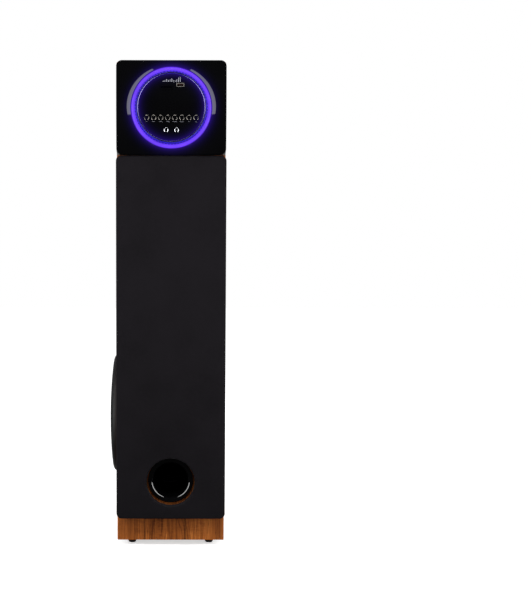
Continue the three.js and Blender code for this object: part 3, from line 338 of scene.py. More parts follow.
    def board_seams(self, tree: bpy.types.NodeTree,
                    across: bpy.types.NodeSocket) -> bpy.types.NodeSocket:
        """A thin dark line where two printed boards meet.

        Args:
            tree: The material's tree.
            across: How far across the foil, in metres.

        Returns:
            One on a line and nought away from it.
        """
        total = None
        for edge in self.board_edges_mm:
            near = add_node(tree, "ShaderNodeMath", {"operation": "COMPARE"}, {
                0: across, 1: edge * MM, 2: 0.9 * MM}).outputs[0]
            if total is None:
                total = near
            else:
                total = add_node(tree, "ShaderNodeMath", {"operation": "MAXIMUM"}, {
                    0: total, 1: near}).outputs[0]
        return add_node(tree, "ShaderNodeMath", {"operation": "MULTIPLY"}, {
            0: total, 1: 0.85}).outputs[0]

    def arches(self, tree: bpy.types.NodeTree, across: bpy.types.NodeSocket,
               along: bpy.types.NodeSocket, warp: bpy.types.NodeSocket) -> bpy.types.NodeSocket:
        """Growth lines that arch over, as in a flat-sawn board, drawn as narrow dark bands.

        Args:
            tree: The material's tree.
            across: How far across the foil, in metres.
            along: How far along it.
            warp: Noise that bends the lines.

        Returns:
            How much darker the print is.
        """
        pitch_mm = 190.0
        local = add_node(tree, "ShaderNodeMath", {"operation": "PINGPONG"}, {
            0: across, 1: 0.5 * pitch_mm * MM}).outputs[0]
        bow = add_node(tree, "ShaderNodeMath", {"operation": "MULTIPLY"}, {
            0: local, 1: local}).outputs[0]
        height = add_node(tree, "ShaderNodeMath", {"operation": "MULTIPLY_ADD"}, {
            0: bow, 1: 150.0, 2: along}).outputs[0]
        bent = add_node(tree, "ShaderNodeMath", {"operation": "MULTIPLY_ADD"}, {
            0: warp, 1: 0.45, 2: height}).outputs[0]
        turns = add_node(tree, "ShaderNodeMath", {"operation": "MULTIPLY"}, {
            0: bent, 1: 2.0 * math.pi / (58.0 * MM)}).outputs[0]
        wave = add_node(tree, "ShaderNodeMath", {"operation": "SINE"}, {0: turns}).outputs[0]
        narrow = add_node(tree, "ShaderNodeMapRange", {}, {
            "Value": wave, "From Min": 0.35, "From Max": 1.0, "To Min": 0.0, "To Max": 0.17})
        return narrow.outputs["Result"]


@dataclass(frozen=True)
class PianoGloss(Finish):
    """Gloss black ABS, moulded and polished. Near the light ring it carries a painted violet glow,
    emission standing in for light scattered under the surface, fading within a few millimetres."""

    glow_centre: tuple[float, float, float] = (0.0, 0.0, 0.0)
    glow_outer: float = 82.0 * MM
    glow_inner: float = 67.5 * MM
    glow_fade: float = 4.8 * MM
    glow_colour: str = "5a2cff"
    glow_strength: float = 0.15

    def dress(self, tree: bpy.types.NodeTree, shader: bpy.types.Node,
              place: bpy.types.NodeSocket) -> None:
        """Draws the faint mottle of the moulding and the painted glow.

        Args:
            tree: The material's tree.
            shader: Its principled shader.
            place: The object coordinate.
        """
        super().dress(tree, shader, place)
        moved = add_node(tree, "ShaderNodeVectorMath", {"operation": "SUBTRACT"}, {
            0: place, 1: self.glow_centre}).outputs[0]
        flat = add_node(tree, "ShaderNodeVectorMath", {"operation": "MULTIPLY"}, {
            0: moved, 1: (1.0, 0.0, 1.0)}).outputs[0]
        radius = add_node(tree, "ShaderNodeVectorMath", {"operation": "LENGTH"}, {
            0: flat}).outputs["Value"]
        outside = add_node(tree, "ShaderNodeMath", {"operation": "SUBTRACT"}, {
            0: radius, 1: self.glow_outer}).outputs[0]
        inside = add_node(tree, "ShaderNodeMath", {"operation": "SUBTRACT"}, {
            0: self.glow_inner, 1: radius}).outputs[0]
        away = add_node(tree, "ShaderNodeMath", {"operation": "MAXIMUM"}, {
            0: outside, 1: inside}).outputs[0]
        scaled = add_node(tree, "ShaderNodeMath", {"operation": "DIVIDE"}, {
            0: away, 1: -self.glow_fade}).outputs[0]
        fade = add_node(tree, "ShaderNodeMath", {"operation": "EXPONENT"}, {
            0: scaled}).outputs[0]
        level = add_node(tree, "ShaderNodeMath", {"operation": "MULTIPLY", "use_clamp": True}, {
            0: fade, 1: self.glow_strength}).outputs[0]
        # Painted glow: violet emission on the gloss surface, strongest at the light ring and fading
        # away from it.
        shader.inputs["Emission Color"].default_value = linear(self.glow_colour)
        tree.links.new(level, shader.inputs["Emission Strength"])


@dataclass(frozen=True)
class LitDiffuser(Finish):
    """Frosted acrylic lit from behind: violet on the flat of the ring, deep blue on the wall that
    rises to the bright trim, with the row of lamps showing as faint beads between them."""

    centre: tuple[float, float, float] = (0.0, 0.0, 0.0)
    wall_radius: float = 72.7 * MM
    line_half: float = 0.75 * MM
    inner: float = 68.0 * MM
    outer: float = 82.0 * MM
    lamps: float = 72.0
    bead_share: float = -0.35
    blue: str = "1010b0"
    shoulder: str = "5a30f0"
    violet: str = "7040f6"
    crest: str = "6a38f4"
    fall: str = "4a22c8"
    edge: str = "1c0f78"
    gap: str = "0c0a50"

    def dress(self, tree: bpy.types.NodeTree, shader: bpy.types.Node,
              place: bpy.types.NodeSocket) -> None:
        """Draws the light by its distance from the ring's middle.

        Args:
            tree: The material's tree.
            shader: Its principled shader.
            place: The object coordinate.
        """
        moved = add_node(tree, "ShaderNodeVectorMath", {"operation": "SUBTRACT"}, {
            0: place, 1: self.centre}).outputs[0]
        parts = add_node(tree, "ShaderNodeSeparateXYZ", {}, {0: moved})
        flat = add_node(tree, "ShaderNodeCombineXYZ", {}, {
            "X": parts.outputs["X"], "Z": parts.outputs["Z"]}).outputs[0]
        radius = add_node(tree, "ShaderNodeVectorMath", {"operation": "LENGTH"}, {
            0: flat}).outputs["Value"]
        share = add_node(tree, "ShaderNodeMapRange", {}, {
            "Value": radius, "From Min": self.inner, "From Max": self.outer})
        ramp = add_node(tree, "ShaderNodeValToRGB", {}, {"Fac": share.outputs["Result"]})
        wall = (self.wall_radius - self.inner) / (self.outer - self.inner)
        set_stops(ramp, [
            (0.0, linear(self.blue)), (wall - 0.05, linear(self.blue)),
            (wall + 0.08, linear(self.shoulder)), (0.62, linear(self.violet)),
            (0.86, linear(self.crest)), (0.93, linear(self.fall)), (0.97, linear(self.edge))])
        angle = add_node(tree, "ShaderNodeMath", {"operation": "ARCTAN2"}, {
            0: parts.outputs["Z"], 1: parts.outputs["X"]}).outputs[0]
        beads = add_node(tree, "ShaderNodeMath", {"operation": "SINE"}, {
            0: add_node(tree, "ShaderNodeMath", {"operation": "MULTIPLY"}, {
                0: angle, 1: self.lamps}).outputs[0]}).outputs[0]
        bead = add_node(tree, "ShaderNodeMath", {"operation": "GREATER_THAN"}, {
            0: beads, 1: self.bead_share}).outputs[0]
        near = add_node(tree, "ShaderNodeMath", {"operation": "COMPARE"}, {
            0: radius, 1: self.wall_radius, 2: self.line_half}).outputs[0]
        dotted = add_node(tree, "ShaderNodeMath", {"operation": "MULTIPLY"}, {
            0: near, 1: bead}).outputs[0]
        cloud = add_node(tree, "ShaderNodeTexNoise", {}, {
            "Vector": place, "Scale": 45.0, "Detail": 1.0})
        strength = add_node(tree, "ShaderNodeMapRange", {}, {
            "Value": cloud.outputs["Fac"], "From Min": 0.3, "From Max": 0.7,
            "To Min": 0.88, "To Max": 1.12})
        lit = add_node(tree, "ShaderNodeMix", {"data_type": "RGBA"}, {
            "Factor": dotted, "A": ramp.outputs["Color"], "B": linear(self.gap)})
        tree.links.new(lit.outputs["Result"], shader.inputs["Emission Color"])
        tree.links.new(strength.outputs["Result"], shader.inputs["Emission Strength"])


@dataclass(frozen=True)
class WovenCloth(Finish):
    """Black polyester speaker cloth, a plain weave of about one thread to the millimetre, matt,
    with a little sheen from the yarn. The yarn is drawn a little coarser than it is, to show."""

    thread_mm: float = 1.1
    corner: tuple[float, float, float] = (0.0, 0.0, 0.0)

    def dress(self, tree: bpy.types.NodeTree, shader: bpy.types.Node,
              place: bpy.types.NodeSocket) -> None:
        """Draws warp and weft.

        Args:
            tree: The material's tree.
            shader: Its principled shader.
            place: The object coordinate.
        """
        moved = add_node(tree, "ShaderNodeVectorMath", {"operation": "SUBTRACT"}, {
            0: place, 1: self.corner}).outputs[0]
        parts = add_node(tree, "ShaderNodeSeparateXYZ", {}, {0: moved})
        across = add_node(tree, "ShaderNodeMath", {"operation": "ADD"}, {
            0: parts.outputs["X"], 1: parts.outputs["Y"]}).outputs[0]
        turn = math.pi / (self.thread_mm * MM)
        warp = add_node(tree, "ShaderNodeMath", {"operation": "SINE"}, {
            0: add_node(tree, "ShaderNodeMath", {"operation": "MULTIPLY"}, {
                0: across, 1: turn}).outputs[0]}).outputs[0]
        weft = add_node(tree, "ShaderNodeMath", {"operation": "SINE"}, {
            0: add_node(tree, "ShaderNodeMath", {"operation": "MULTIPLY"}, {
                0: parts.outputs["Z"], 1: turn}).outputs[0]}).outputs[0]
        weave = add_node(tree, "ShaderNodeMath", {"operation": "MULTIPLY"}, {
            0: warp, 1: weft}).outputs[0]
        height = add_node(tree, "ShaderNodeMapRange", {}, {
            "Value": weave, "From Min": -1.0, "From Max": 1.0})
        slub = add_node(tree, "ShaderNodeTexNoise", {}, {
            "Vector": place, "Scale": 1.0 / (6.0 * MM), "Detail": 3.0})
        wide = add_node(tree, "ShaderNodeTexNoise", {}, {
            "Vector": place, "Scale": 1.0 / (90.0 * MM), "Detail": 2.0})
        tone = add_node(tree, "ShaderNodeMath", {"operation": "MULTIPLY_ADD"}, {
            0: slub.outputs["Fac"], 1: 0.5, 2: wide.outputs["Fac"]}).outputs[0]
        tone = add_node(tree, "ShaderNodeMath", {"operation": "MULTIPLY_ADD"}, {
            0: height.outputs["Result"], 1: 0.35, 2: tone}).outputs[0]
        base = linear(self.colour)
        colour = add_node(tree, "ShaderNodeValToRGB", {}, {"Fac": tone})
        set_stops(colour, [
            (0.45, tuple(c * 0.72 for c in base[:3]) + (1.0,)),
            (1.0, tuple(c * 1.3 for c in base[:3]) + (1.0,))])
        tree.links.new(colour.outputs["Color"], shader.inputs["Base Color"])
        bump = add_node(tree, "ShaderNodeBump", {}, {
            "Height": height.outputs["Result"], "Distance": 0.18 * MM, "Strength": 0.5})
        tree.links.new(bump.outputs["Normal"], shader.inputs["Normal"])


@dataclass(frozen=True)
class BrushedMetal(Finish):
    """A turned or brushed metal: fine lines along one axis set its roughness and its sparkle."""

    line_mm: float = 0.25
    along: tuple[float, float, float] = (0.05, 1.0, 1.0)

    def dress(self, tree: bpy.types.NodeTree, shader: bpy.types.Node,
              place: bpy.types.NodeSocket) -> None:
        """Draws the brushed lines.

        Args:
            tree: The material's tree.
            shader: Its principled shader.
            place: The object coordinate.
        """
        drawn = add_node(tree, "ShaderNodeVectorMath", {"operation": "MULTIPLY"}, {
            0: place, 1: self.along}).outputs[0]
        lines = add_node(tree, "ShaderNodeTexNoise", {}, {
            "Vector": drawn, "Scale": 1.0 / (self.line_mm * MM), "Detail": 2.0})
        rough = add_node(tree, "ShaderNodeMapRange", {}, {
            "Value": lines.outputs["Fac"], "From Min": 0.3, "From Max": 0.7,
            "To Min": self.roughness * 0.75, "To Max": min(1.0, self.roughness * 1.3)})
        tree.links.new(rough.outputs["Result"], shader.inputs["Roughness"])
        base = linear(self.colour)
        tint = add_node(tree, "ShaderNodeValToRGB", {}, {"Fac": lines.outputs["Fac"]})
        set_stops(tint, [
            (0.3, tuple(c * (1.0 - self.mottle) for c in base[:3]) + (1.0,)),
            (0.7, tuple(min(1.0, c * (1.0 + self.mottle)) for c in base[:3]) + (1.0,))])
        tree.links.new(tint.outputs["Color"], shader.inputs["Base Color"])
        bump = add_node(tree, "ShaderNodeBump", {}, {
            "Height": lines.outputs["Fac"], "Distance": self.relief_mm * MM, "Strength": 0.3})
        tree.links.new(bump.outputs["Normal"], shader.inputs["Normal"])


@dataclass(frozen=True)
class CircuitBoard(Finish):
    """Glass-epoxy board under solder mask: a grid of tracks and tinned pads shows through."""

    pad_mm: float = 5.0
    copper: str = "1a6038"
    trace_edge: str = "3f8a58"
    tin: str = "b9bcc0"

    def dress(self, tree: bpy.types.NodeTree, shader: bpy.types.Node,
              place: bpy.types.NodeSocket) -> None:
        """Draws pads and tracks.

        Args:
            tree: The material's tree.
            shader: Its principled shader.
            place: The object coordinate.
        """
        cells = add_node(tree, "ShaderNodeTexVoronoi", {"distance": "CHEBYCHEV"}, {
            "Vector": place, "Scale": 1.0 / (self.pad_mm * MM), "Randomness": 0.6})
        pads = add_node(tree, "ShaderNodeMath", {"operation": "LESS_THAN"}, {
            0: cells.outputs["Distance"], 1: 0.16}).outputs[0]
        tracks = add_node(tree, "ShaderNodeTexBrick", {}, {
            "Vector": place, "Scale": 1.0 / (3.0 * self.pad_mm * MM), "Mortar Size": 0.03,
            "Color1": linear(self.colour), "Color2": linear(self.copper),
            "Mortar": linear(self.trace_edge)})
        colour = add_node(tree, "ShaderNodeMix", {"data_type": "RGBA"}, {
            "Factor": pads, "A": tracks.outputs["Color"], "B": linear(self.tin)})
        tree.links.new(colour.outputs["Result"], shader.inputs["Base Color"])


# ------------------------------------------------------------------ where things are


@dataclass(frozen=True)
class Layout:
    """Places read from the frame's own boxes."""

    middle_x: float
    half_width: float
    baffle_y: float
    back_y: float
    bottom_z: float
    top_z: float

    @classmethod
    def read(cls) -> "Layout":
        """Reads the cabinet's box."""
        low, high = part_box("front_baffle")
        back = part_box("back_panel")[1]
        return cls((low.x + high.x) / 2.0, (high.x - low.x) / 2.0, low.y, back.y, low.z, high.z)

    def front(self, x: float, depth: float, z: float) -> Vector:
        """A point x from the middle, depth in front of the baffle's face, and z above the floor."""
        return Vector((self.middle_x + x, self.baffle_y - depth, z))


def centre_of(node: str) -> Vector:
    """The middle of a CAD node's box."""
    low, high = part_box(node)
    return (low + high) / 2.0


# ------------------------------------------------------------------ modelling tools


class Kind(Enum):
    """What a selection is made of."""

    VERT = "VERT"
    EDGE = "EDGE"
    FACE = "FACE"


@dataclass(frozen=True)
class Spot:
    """One vertex, edge or face as a test sees it: its middle, its direction or normal, and for an
    edge the angle between its faces."""

    at: Vector
    way: Vector
    fold: float = 0.0


Test = Callable[[Spot], bool]


def leave_edit() -> None:
    """Back to object mode, if not there already."""
    if bpy.context.object is not None and bpy.context.object.mode != "OBJECT":
        bpy.ops.object.mode_set(mode="OBJECT")


def take(obj: bpy.types.Object) -> None:
    """Makes an object the only one selected, and active."""
    leave_edit()
    bpy.ops.object.select_all(action="DESELECT")
    obj.select_set(True)
    bpy.context.view_layer.objects.active = obj


def folds_of(mesh: bpy.types.Mesh) -> dict[tuple[int, int], float]:
    """The angle between the two faces at each edge.

    Args:
        mesh: The mesh.

    Returns:
        The angle in radians, by the edge's vertex pair.
    """
    seen: dict[tuple[int, int], list[Vector]] = {}
    for face in mesh.polygons:
        for key in face.edge_keys:
            seen.setdefault(key, []).append(face.normal)
    return {key: ns[0].angle(ns[1], 0.0) if len(ns) == 2 else math.pi for key, ns in seen.items()}


def pick(obj: bpy.types.Object, kind: Kind, test: Test) -> int:
    """Enters edit mode with the elements selected that pass a test.

    Args:
        obj: The object to edit.
        kind: Vertices, edges or faces.
        test: Says whether one is selected.

    Returns:
        How many are selected.
    """
    take(obj)
    mesh = obj.data
    bpy.context.tool_settings.mesh_select_mode = tuple(kind is k for k in Kind)
    for group in (mesh.vertices, mesh.edges, mesh.polygons):
        group.foreach_set("select", [False] * len(group))
    count = 0
    if kind is Kind.VERT:
        for vert in mesh.vertices:
            vert.select = test(Spot(vert.co, vert.normal))
            count += vert.select
    elif kind is Kind.EDGE:
        folds = folds_of(mesh)
        for edge in mesh.edges:
            a, b = (mesh.vertices[i].co for i in edge.vertices)
            fold = folds.get(tuple(sorted(edge.vertices)), math.pi)
            edge.select = test(Spot((a + b) / 2.0, (b - a).normalized(), fold))
            count += edge.select
    else:
        for face in mesh.polygons:
            face.select = test(Spot(face.center, face.normal))
            count += face.select
    bpy.ops.object.mode_set(mode="EDIT")
    return count


def bevel(obj: bpy.types.Object, width: float, segments: int, test: Test) -> bpy.types.Object:
    """Rounds the edges that pass a test.

    Args:
        obj: The object.
        width: The rounding's width in metres.
        segments: How many faces it takes.
        test: Which edges.

    Returns:
        The same object.
    """
    if pick(obj, Kind.EDGE, test):
        bpy.ops.mesh.bevel(offset=width, offset_type="OFFSET", segments=segments, affect="EDGES",
                           clamp_overlap=True)
    leave_edit()
    return obj


def block(name: str, low: Sequence[float], high: Sequence[float]) -> bpy.types.Object:
    """A box between two corners, to be shaped further.

    Args:
        name: The object's name.
        low: Its lowest corner.
        high: Its highest corner.

    Returns:
        The new object, at the origin.
    """
    leave_edit()
    bpy.ops.object.select_all(action="DESELECT")
    low, high = Vector(low), Vector(high)
    bpy.ops.mesh.primitive_cube_add(size=1.0, location=(low + high) / 2.0, scale=high - low)
    obj = bpy.context.object
    obj.name = obj.data.name = name
    bpy.ops.object.transform_apply(location=True, rotation=True, scale=True)
    return obj


def slab(name: str, low: Sequence[float], high: Sequence[float], axis: Vector, corner: float,
         edge: float = 0.0, ends: Iterable[int] = (-1, 1), corner_segments: int = 6,
         edge_segments: int = 3) -> bpy.types.Object:
    """A box with rounded corners round one axis and softened edges at its ends.

    Args:
        name: The object's name.
        low: Its lowest corner.
        high: Its highest corner.
        axis: The axis that the rounded corners run along.
        corner: The radius of those corners.
        edge: The rounding of the outline at the ends, or nought.
        ends: Which ends are softened, by sign along the axis.
        corner_segments: Faces round a corner.
        edge_segments: Faces across a softened edge.

    Returns:
        The new object.
    """
    obj = block(name, low, high)
    line = Vector([abs(c) for c in axis])
    bevel(obj, corner, corner_segments, lambda s: abs(s.way.dot(line)) > 0.99)
    if edge > 0.0:
        limits = {-1: Vector(low).dot(line), 1: Vector(high).dot(line)}
        levels = [limits[end] for end in ends]
        bevel(obj, edge, edge_segments, lambda s: abs(s.way.dot(line)) < 0.01 and any(
            abs(s.at.dot(line) - level) < MERGE for level in levels))
    return obj


def turn(name: str, profile: Profile, axis: Vector, centre: Vector, steps: int = 96,
         closed: bool = False) -> bpy.types.Object:
    """Turns a profile round an axis.

    Args:
        name: The object's name.
        profile: Pairs of radius and distance along the axis, in millimetres.
        axis: The direction of the second number.
        centre: Where both are nought.
        steps: How many steps the turn takes.
        closed: Whether the profile's last point joins its first.

    Returns:
        The new object.
    """
    leave_edit()
    bpy.ops.object.select_all(action="DESELECT")
    out = UP if abs(axis.z) < 0.5 else Vector((1.0, 0.0, 0.0))
    points = [centre + out * (r * MM) + axis * (a * MM) for r, a in profile]
    if closed:
        points.append(points[0])
    bpy.ops.mesh.primitive_plane_add(size=MM, location=points[0])
    obj = bpy.context.object
    obj.name = obj.data.name = name
    bpy.ops.object.transform_apply(location=True, rotation=True, scale=True)
    bpy.context.tool_settings.mesh_select_mode = (True, False, False)
    bpy.ops.object.mode_set(mode="EDIT")
    bpy.ops.mesh.select_all(action="SELECT")
    bpy.ops.mesh.merge(type="CENTER")
    for start, end in zip(points, points[1:]):
        bpy.ops.mesh.extrude_vertices_move(TRANSFORM_OT_translate={"value": end - start})
    bpy.ops.mesh.select_all(action="SELECT")
    bpy.ops.mesh.spin(steps=steps, angle=2.0 * math.pi, center=centre, axis=axis)
    tidy_edit()
    return obj


def tidy_edit() -> None:
    """Merges doubles in edit mode, points the faces outwards and goes back to object mode."""
    bpy.ops.mesh.select_all(action="SELECT")
    bpy.ops.mesh.remove_doubles(threshold=MERGE)
    bpy.ops.mesh.dissolve_degenerate(threshold=MERGE / 2.0)
    bpy.ops.mesh.select_all(action="SELECT")
    bpy.ops.mesh.normals_make_consistent(inside=False)
    leave_edit()


def apply_modifier(obj: bpy.types.Object, kind: str, **settings: object) -> bpy.types.Object:
    """Adds a modifier and applies it.

    Args:
        obj: The object.
        kind: The modifier's type.
        **settings: Its settings.

    Returns:
        The same object.
    """
    take(obj)
    modifier = obj.modifiers.new(kind.lower(), kind)
    for name, value in settings.items():
        setattr(modifier, name, value)
    bpy.ops.object.modifier_apply(modifier=modifier.name)
    return obj


def subtract(obj: bpy.types.Object, *tools: bpy.types.Object) -> bpy.types.Object:
    """Cuts tools out of an object, and throws the tools away."""
    for tool in tools:
        apply_modifier(obj, "BOOLEAN", operation="DIFFERENCE", solver="EXACT", object=tool)
        bpy.data.objects.remove(tool)
    return obj


def unite(name: str, parts: Sequence[bpy.types.Object]) -> bpy.types.Object:
    """Joins objects that belong to one piece.

    Args:
        name: The piece's name.
        parts: The objects.

    Returns:
        The joined object.
    """
    take(parts[0])
    for part in parts[1:]:
        part.select_set(True)
    bpy.ops.object.join()
    obj = bpy.context.object
    obj.name = obj.data.name = name
    return obj


def copy_at(obj: bpy.types.Object, name: str, step: Vector) -> bpy.types.Object:
    """Copies an object with its own mesh, moved by a step.

    Args:
        obj: What is copied.
        name: The copy's name.
        step: How far it is moved.

    Returns:
        The copy, at the origin.
    """
    twin = bpy.data.objects.new(name, obj.data.copy())
    twin.data.name = name
    twin.data.transform(Matrix.Translation(step))
    bpy.context.scene.collection.objects.link(twin)
    return twin


def smooth(obj: bpy.types.Object, angle: float = SMOOTH_ANGLE) -> bpy.types.Object:
    """Shades an object smooth where its faces meet at less than an angle."""
    take(obj)
    bpy.ops.object.shade_smooth_by_angle(angle=angle)
    return obj


def deliver(obj: bpy.types.Object, body: str, finish: Finish,
            replaced: Sequence[str] = ()) -> bpy.types.Object:
    """Finishes a piece: shading, material and body, and hides the CAD nodes that it stands for.

    Args:
        obj: The piece.
        body: The CAD body that it rides on.
        finish: Its finish.
        replaced: The CAD nodes that it stands for.

    Returns:
        The piece.
    """
    smooth(obj)
    obj.data.materials.clear()
    obj.data.materials.append(finish.material())
    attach(obj, body)
    if replaced:
        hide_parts(*replaced)
    LOG.info("%s: %d faces on %s", obj.name, len(obj.data.polygons), body)
    return obj


def dress_node(node: str, finish: Finish) -> None:
    """Gives a CAD node that stays a better material."""
    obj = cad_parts[node]
    obj.data.materials.clear()
    obj.data.materials.append(finish.material())


def ring_points(radius: float, along: float, size: float, start: float, end: float,
                steps: int) -> list[tuple[float, float]]:
    """Points on an arc of a profile, in millimetres and degrees.

    Args:
        radius: The arc's middle, away from the axis.
        along: The arc's middle, along the axis.
        size: The arc's own radius.
        start: Where it starts.
        end: Where it ends.
        steps: How many steps it takes.

    Returns:
        The points.
    """
    angles = [math.radians(start + (end - start) * i / steps) for i in range(steps + 1)]
    return [(radius + size * math.cos(a), along + size * math.sin(a)) for a in angles]


# ------------------------------------------------------------------ the finishes that are used

PLACES = Layout.read()
RING_AT = centre_of("control_disc")
RING_CENTRE = (RING_AT.x, 0.0, RING_AT.z)

# Vinyl printed as teak boards and folded round the cabinet: warm streaked brown, a low satin.
VENEER = PrintedVeneer("printed_vinyl_wood", "a5622f", roughness=0.42, ior=1.4, relief_mm=0.05,
                       corner_x=PLACES.middle_x, front_y=PLACES.baffle_y)
# The same vinyl on the top board, where the grain runs from front to back.
TOP_VENEER = PrintedVeneer("printed_vinyl_wood_top", "a5622f", roughness=0.42, ior=1.4,
                           relief_mm=0.05, grain_way=Grain.FRONT_TO_BACK,
                           corner_x=PLACES.middle_x, front_y=PLACES.baffle_y,
                           board_edges_mm=(-54.0, 30.0), board_tones=(0.38, 0.56, 0.44))
# Moulded and polished ABS: near black, mirror-smooth, with a painted violet glow near the light
# ring.
GLOSS = PianoGloss("gloss_black_abs", "060607", roughness=0.045, ior=1.48, grain_mm=3.0,
                   relief_mm=0.002, mottle=0.2, glow_centre=RING_CENTRE)
# The same ABS under a hard clear lacquer, which the high index stands for: two bright arcs.
PORT_GLOSS = Finish("gloss_black_port_abs", "060607", roughness=0.05, ior=2.1, grain_mm=2.0,
                    relief_mm=0.003, mottle=0.2)
# Spark-eroded ABS: a fine matt grain.
TEXTURED = Finish("textured_black_abs", "111113", roughness=0.55, ior=1.53, grain_mm=0.7,
                  relief_mm=0.05)
# Plain-woven polyester: matt black, faintly violet, no highlight.
CLOTH = WovenCloth("woven_speaker_cloth", "131114", roughness=0.95, ior=1.22, sheen=0.02,
                   corner=(PLACES.middle_x, PLACES.baffle_y, 0.0))
# Powder-coated steel: a soft orange peel.
POWDER = Finish("powder_coated_steel", "0f0f11", roughness=0.5, grain_mm=1.2, relief_mm=0.05)
# Pressed nitrile rubber: dark grey-black, dull.
RUBBER = Finish("moulded_rubber", "101011", roughness=0.75, ior=1.52, grain_mm=0.8, relief_mm=0.06)
# Moulded polycarbonate: clear red with a soft shine.
RED_PLASTIC = Finish("red_polycarbonate", "a51a16", roughness=0.3, ior=1.58, relief_mm=0.01)
# Glass-filled nylon: red so dark that it shows only as a warm shade in the socket.
DARK_RED = Finish("dark_red_insulator", "1f0807", roughness=0.4, relief_mm=0.01)
# Moulded acetal: warm white, half matt.
WHITE_PLASTIC = Finish("white_insulator", "d8d6d0", roughness=0.4, relief_mm=0.01, mottle=0.04)
# Pressed and dyed paper pulp: dull black with a fibrous grain.
PAPER = Finish("pressed_paper_pulp", "1d1d1f", roughness=0.9, grain_mm=1.6, relief_mm=0.12)
# Silk under a damping coat: dark, a little sheen at the edge.
SILK = Finish("coated_silk", "1e1e22", roughness=0.45, sheen=0.3, grain_mm=0.4, relief_mm=0.03)
# Pressed and sintered ferrite: stony dark grey.
FERRITE = Finish("sintered_ferrite", "26262a", roughness=0.65, grain_mm=1.5, relief_mm=0.08)
# Sawn fibreboard, left bare: even pale brown.
MDF = Finish("bare_fibreboard", "8a6a46", roughness=0.85, grain_mm=0.9, relief_mm=0.05)
# Embossed paper foil on board: matt black, a pebbled grain.
BLACK_FOIL = Finish("textured_black_foil", "18181a", roughness=0.62, grain_mm=0.9, relief_mm=0.07)
# Fibreboard sprayed with black stain: flat black.
FRAME_BOARD = Finish("black_stained_fibreboard", "151516", roughness=0.7, grain_mm=1.0,
                     relief_mm=0.06)
# Screen-printed ink with metal powder: mid grey with a dull glint.
INK = Finish("silver_screen_print", "84858f", roughness=0.35, relief_mm=0.01, mottle=0.08)
# The same print in a thinner grey.
FAINT_INK = Finish("grey_screen_print", "63646b", roughness=0.4, relief_mm=0.01, mottle=0.1)
# Spun aluminium: a thin bright line, with the violet of the ring's light painted into its colour as
# a painted reflection.
TRIM_METAL = BrushedMetal("bright_trim_painted_violet", "8f88cc", roughness=0.3, metallic=1.0, mottle=0.06,
                          relief_mm=0.003)
# Turned brass, chromed: near white, sharp reflections.
CHROME = BrushedMetal("bright_chromed_brass", "d6d8de", roughness=0.12, metallic=1.0,
                      mottle=0.04, relief_mm=0.002)
# Turned brass, nickelled: pale grey, soft reflections.
NICKEL = BrushedMetal("satin_nickel", "bfc0c8", roughness=0.36, metallic=1.0, mottle=0.06,
                      relief_mm=0.004)
# Black nickel on a turned ring: a thin warm grey line.
SMOKED = BrushedMetal("smoked_nickel", "8a8680", roughness=0.16, metallic=1.0, mottle=0.06,
                      relief_mm=0.003)
# Folded tinplate, dulled by handling: warm grey.
TINPLATE = BrushedMetal("tin_plated_shell", "8d8984", roughness=0.4, metallic=0.4, mottle=0.06,
                        relief_mm=0.004)
# Zinc-plated steel: bluish grey, slightly cloudy.
STEEL = BrushedMetal("zinc_plated_steel", "9a9da3", roughness=0.32, metallic=1.0, mottle=0.1,
                     relief_mm=0.01)
# Extruded aluminium: light grey with fine lines.
ALUMINIUM = BrushedMetal("extruded_aluminium", "a9acb1", roughness=0.38, metallic=1.0,
                         mottle=0.08, relief_mm=0.01)
# Gilded brass contacts: warm yellow.
BRASS = BrushedMetal("gilded_brass", "c9a55a", roughness=0.25, metallic=1.0, relief_mm=0.003)
# Glass-epoxy under green solder mask: a soft shine over tracks and tinned pads.
CIRCUIT = CircuitBoard("solder_masked_board", "14502d", roughness=0.35)
# Frosted acrylic over a ring of lamps: an even violet light.
GLOW = LitDiffuser("lit_acrylic_ring", "2a1a50", roughness=0.35, centre=RING_CENTRE)


# ------------------------------------------------------------------ the cabinet


